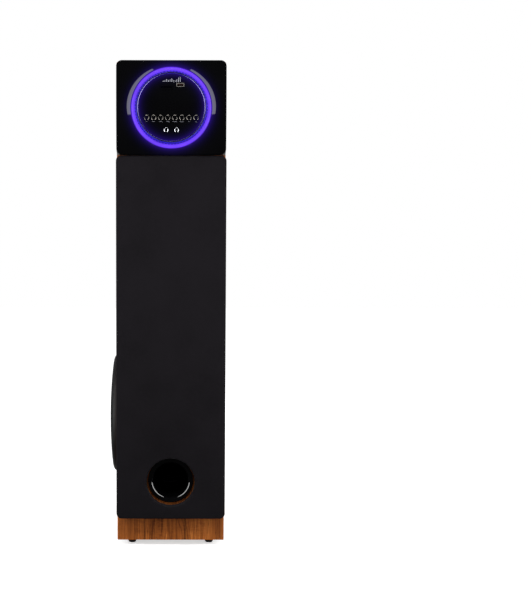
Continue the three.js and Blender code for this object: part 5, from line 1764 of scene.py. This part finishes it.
@dataclass
class Amplifier:
    """The amplifier at the back: plate, inlet, switch, terminals and line sockets."""

    places: Layout
    screw_radius: float = 3.2

    def build(self) -> None:
        """Builds the amplifier's pieces."""
        self.make_plate()
        self.make_inlet_pins()
        self.make_line_sockets()
        for node, finish in (("amplifier_board", CIRCUIT), ("heatsink", ALUMINIUM),
                             ("transformer", STEEL), ("mains_inlet", TEXTURED),
                             ("rocker_bezel", TEXTURED), ("power_rocker", RED_PLASTIC),
                             ("terminal_block", TEXTURED), ("terminal_lever_black", TEXTURED),
                             ("terminal_lever_red", RED_PLASTIC)):
            dress_node(node, finish)

    def make_plate(self) -> None:
        """The coated plate with its cut-outs and screws."""
        low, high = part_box("amplifier_plate")
        plate = slab("amplifier_coated_plate", low, high, BACK, 3.0 * MM, 0.4 * MM, ends=(1,),
                     corner_segments=4, edge_segments=2)
        for node, grow in (("mains_inlet", -2.0), ("rocker_bezel", -1.2), ("terminal_block", -3.0)):
            a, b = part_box(node)
            subtract(plate, block("opening", (a.x - grow * MM, low.y - OVERRUN, a.z - grow * MM),
                                  (b.x + grow * MM, high.y + OVERRUN, b.z + grow * MM)))
        deliver(plate, "cabinet", POWDER, ["amplifier_plate"])
        inset = 6.0 * MM
        heads = []
        for x in (low.x + inset, high.x - inset):
            for z in (low.z + inset, (low.z + high.z) / 2.0, high.z - inset):
                heads.append(screw_head(Vector((x, high.y, z)), BACK, self.screw_radius))
        for z in (low.z + inset, high.z - inset):
            heads.append(screw_head(Vector(((low.x + high.x) / 2.0, high.y, z)), BACK,
                                    self.screw_radius))
        deliver(unite("amplifier_plate_screws", heads), "cabinet", STEEL)

    def make_inlet_pins(self) -> None:
        """The two flat pins of the mains inlet."""
        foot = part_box("mains_inlet")[0].y + 2.1 * MM
        at = centre_of("mains_inlet")
        pins = []
        for step in (-4.3, 4.3):
            pins.append(turn("pin", [(0.0, 0.0), (1.15, 0.0), (1.15, 13.0), (0.9, 13.8),
                                     (0.0, 14.2)], BACK,
                             Vector((at.x + step * MM, foot, at.z)), 16))
        deliver(unite("mains_inlet_pins", pins), "cabinet", BRASS)

    def make_line_sockets(self) -> None:
        """Two phono sockets: a plated barrel on a coloured collar, on a black base."""
        low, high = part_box("line_input_sockets")
        at = centre_of("line_input_sockets")
        base = slab("line_input_base", low, (high.x, low.y + 1.5 * MM, high.z), BACK, 2.0 * MM,
                    0.3 * MM, ends=(1,), corner_segments=4, edge_segments=2)
        deliver(base, "cabinet", TEXTURED, ["line_input_sockets"])
        foot = low.y + 1.5 * MM
        for name, step, finish in (("white", -10.0, WHITE_PLASTIC), ("red", 10.0, RED_PLASTIC)):
            centre = Vector((at.x + step * MM, foot, at.z))
            collar = turn(f"line_input_collar_{name}", [
                (1.7, 0.0), (6.4, 0.0), (6.4, 1.2), (6.0, 1.7), (4.2, 1.7), (4.2, 1.0), (1.7, 1.0)],
                BACK, centre, 40, closed=True)
            deliver(collar, "cabinet", finish)
            barrel = turn(f"line_input_barrel_{name}", [
                (3.5, 1.0), (4.1, 1.0), (4.1, 8.5), (3.9, 8.9), (3.5, 9.0)],
                BACK, centre, 40, closed=True)
            deliver(barrel, "cabinet", NICKEL)
            heart = turn(f"line_input_heart_{name}", [
                (1.7, 1.1), (3.4, 1.1), (3.4, 8.4), (1.7, 8.4)], BACK, centre, 32, closed=True)
            deliver(heart, "cabinet", finish)


# ------------------------------------------------------------------ studio


@dataclass
class Studio:
    """Pale floor, white background, tall softboxes on both sides, side fills and a top strip."""

    places: Layout
    camera_x: float = 0.3 * MM
    camera_depth: float = 1976.3 * MM
    camera_z: float = 636.5 * MM
    lens_mm: float = 57.6
    shift: float = 0.157
    yaw: float = -0.01
    pitch: float = 3.49
    roll: float = -0.10
    floor_size: float = 14.0
    # Strength of the floor's painted glow next to the speaker.
    floor_glow: float = 0.56
    ambient: float = 0.12
    mirror_front: float = 0.008
    mirror_back: float = 0.32

    def build(self) -> None:
        """Sets up floor, light and camera."""
        self.make_floor()
        self.make_world()
        middle = Vector((0.0, -0.05, 0.6))
        for side, name in ((1.0, "right"), (-1.0, "left")):
            self.add_light(f"{name}_softbox", (side * 0.62, -0.62, 0.58),
                           Vector((0.0, -0.1, 0.58)), 0.38, 1.14, 4.8)
            fill = self.add_light(f"{name}_fill", (side * 2.1, 0.1, 0.9), middle, 1.4, 1.4, 34.0)
            fill.visible_glossy = False
        self.add_light("top_strip", (0.0, -0.48, 2.2), Vector((0.0, -0.17, 0.9)), 1.4, 0.2, 3.0)
        key = self.add_light("front_key", (0.0, -1.3, 2.1), Vector((0.0, -0.15, 0.95)), 1.2, 0.5,
                             24.0)
        key.visible_glossy = False
        self.make_camera()

    def make_floor(self) -> None:
        """A plain pale floor, matt, with a painted glow that is weaker near the speaker, kept out
        of mirror reflections as a studio's dark front is.
        """
        leave_edit()
        bpy.ops.object.select_all(action="DESELECT")
        bpy.ops.mesh.primitive_plane_add(size=self.floor_size, location=(0.0, 0.0, 0.0))
        floor = bpy.context.object
        floor.name = floor.data.name = "studio_floor"
        material = bpy.data.materials.new("pale_paper_floor")
        material.use_nodes = True
        tree = material.node_tree
        shader = tree.nodes["Principled BSDF"]
        shader.inputs["Roughness"].default_value = 0.95
        shader.inputs["Specular IOR Level"].default_value = 0.0
        place = add_node(tree, "ShaderNodeTexCoord").outputs["Object"]
        pulp = add_node(tree, "ShaderNodeTexNoise", {}, {"Vector": place, "Scale": 30.0})
        tint = add_node(tree, "ShaderNodeValToRGB", {}, {"Fac": pulp.outputs["Fac"]})
        set_stops(tint, [(0.3, grey(0.93)), (0.7, grey(0.95))])
        tree.links.new(tint.outputs["Color"], shader.inputs["Base Color"])
        # Painted glow: the floor emits white light, from floor_glow within about 0.4 m of the
        # middle up to full strength beyond 1.6 m.
        shader.inputs["Emission Color"].default_value = WHITE
        away = add_node(tree, "ShaderNodeVectorMath", {"operation": "LENGTH"}, {
            0: place}).outputs["Value"]
        glow = add_node(tree, "ShaderNodeMapRange", {"interpolation_type": "SMOOTHSTEP"}, {
            "Value": away, "From Min": 0.4, "From Max": 1.6,
            "To Min": self.floor_glow, "To Max": 1.0})
        tree.links.new(glow.outputs["Result"], shader.inputs["Emission Strength"])
        floor.data.materials.append(material)
        floor.visible_glossy = False
        floor.visible_diffuse = False

    def make_world(self) -> None:
        """White behind everything, a soft fill on surfaces, and almost nothing in mirrors."""
        world = bpy.data.worlds.new("studio")
        bpy.context.scene.world = world
        world.use_nodes = True
        tree = world.node_tree
        tree.nodes.clear()
        path = add_node(tree, "ShaderNodeLightPath")
        way = add_node(tree, "ShaderNodeSeparateXYZ", {}, {
            0: add_node(tree, "ShaderNodeTexCoord").outputs["Generated"]})
        mirrored = add_node(tree, "ShaderNodeMapRange", {"interpolation_type": "SMOOTHSTEP"}, {
            "Value": way.outputs["Y"], "From Min": 0.15, "From Max": 0.75,
            "To Min": self.mirror_front, "To Max": self.mirror_back})
        fill = add_node(tree, "ShaderNodeMix", {"data_type": "FLOAT"}, {
            "Factor": path.outputs["Is Glossy Ray"], "A": self.ambient,
            "B": mirrored.outputs["Result"]})
        level = add_node(tree, "ShaderNodeMix", {"data_type": "FLOAT"}, {
            "Factor": path.outputs["Is Camera Ray"], "A": fill.outputs["Result"], "B": 1.0})
        light = add_node(tree, "ShaderNodeBackground", {}, {
            "Color": WHITE, "Strength": level.outputs["Result"]})
        add_node(tree, "ShaderNodeOutputWorld", {}, {"Surface": light.outputs[0]})

    def add_light(self, name: str, at: Sequence[float], aim: Vector, width: float, height: float,
                  power: float) -> bpy.types.Object:
        """Adds one softbox.

        Args:
            name: Its name.
            at: Where its middle is.
            aim: What it faces.
            width: Its width.
            height: Its height.
            power: Its power in watts.

        Returns:
            The light.
        """
        data = bpy.data.lights.new(name, "AREA")
        data.shape = "RECTANGLE"
        data.size, data.size_y = width, height
        data.energy = power
        light = bpy.data.objects.new(name, data)
        bpy.context.scene.collection.objects.link(light)
        light.location = at
        light.rotation_euler = (aim - Vector(at)).to_track_quat("-Z", "Y").to_euler()
        light.visible_camera = False
        return light

    def make_camera(self) -> None:
        """The camera, from its place and its three angles."""
        yaw, pitch, roll = (math.radians(a) for a in (self.yaw, self.pitch, self.roll))
        forward = Vector((-math.sin(yaw) * math.cos(pitch), math.cos(yaw) * math.cos(pitch),
                          -math.sin(pitch)))
        right = Vector((math.cos(yaw), math.sin(yaw), 0.0))
        down = forward.cross(right)
        right, down = (right * math.cos(roll) + down * math.sin(roll),
                       down * math.cos(roll) - right * math.sin(roll))
        data = bpy.data.cameras.new("camera")
        data.lens = self.lens_mm
        data.sensor_width = 36.0
        data.sensor_fit = "AUTO"
        data.shift_x = self.shift
        camera = bpy.data.objects.new("camera", data)
        bpy.context.scene.collection.objects.link(camera)
        axes = Matrix((right, -down, -forward)).transposed().to_4x4()
        place = self.places.front(self.camera_x, self.camera_depth, self.camera_z)
        camera.matrix_world = Matrix.Translation(place) @ axes
        bpy.context.scene.camera = camera
        bpy.context.scene.view_settings.view_transform = "Standard"


def main() -> None:
    """Builds every sub-assembly in order."""
    logging.basicConfig(level=logging.INFO, format="%(message)s")
    for part in (Cabinet(PLACES), Port(PLACES), BassUnit(PLACES), FrontDrivers(PLACES),
                 Grille(PLACES), Head(PLACES), Amplifier(PLACES), Studio(PLACES)):
        LOG.info("building %s", type(part).__name__)
        part.build()
    leave_edit()


if __name__ == "__main__":
    main()
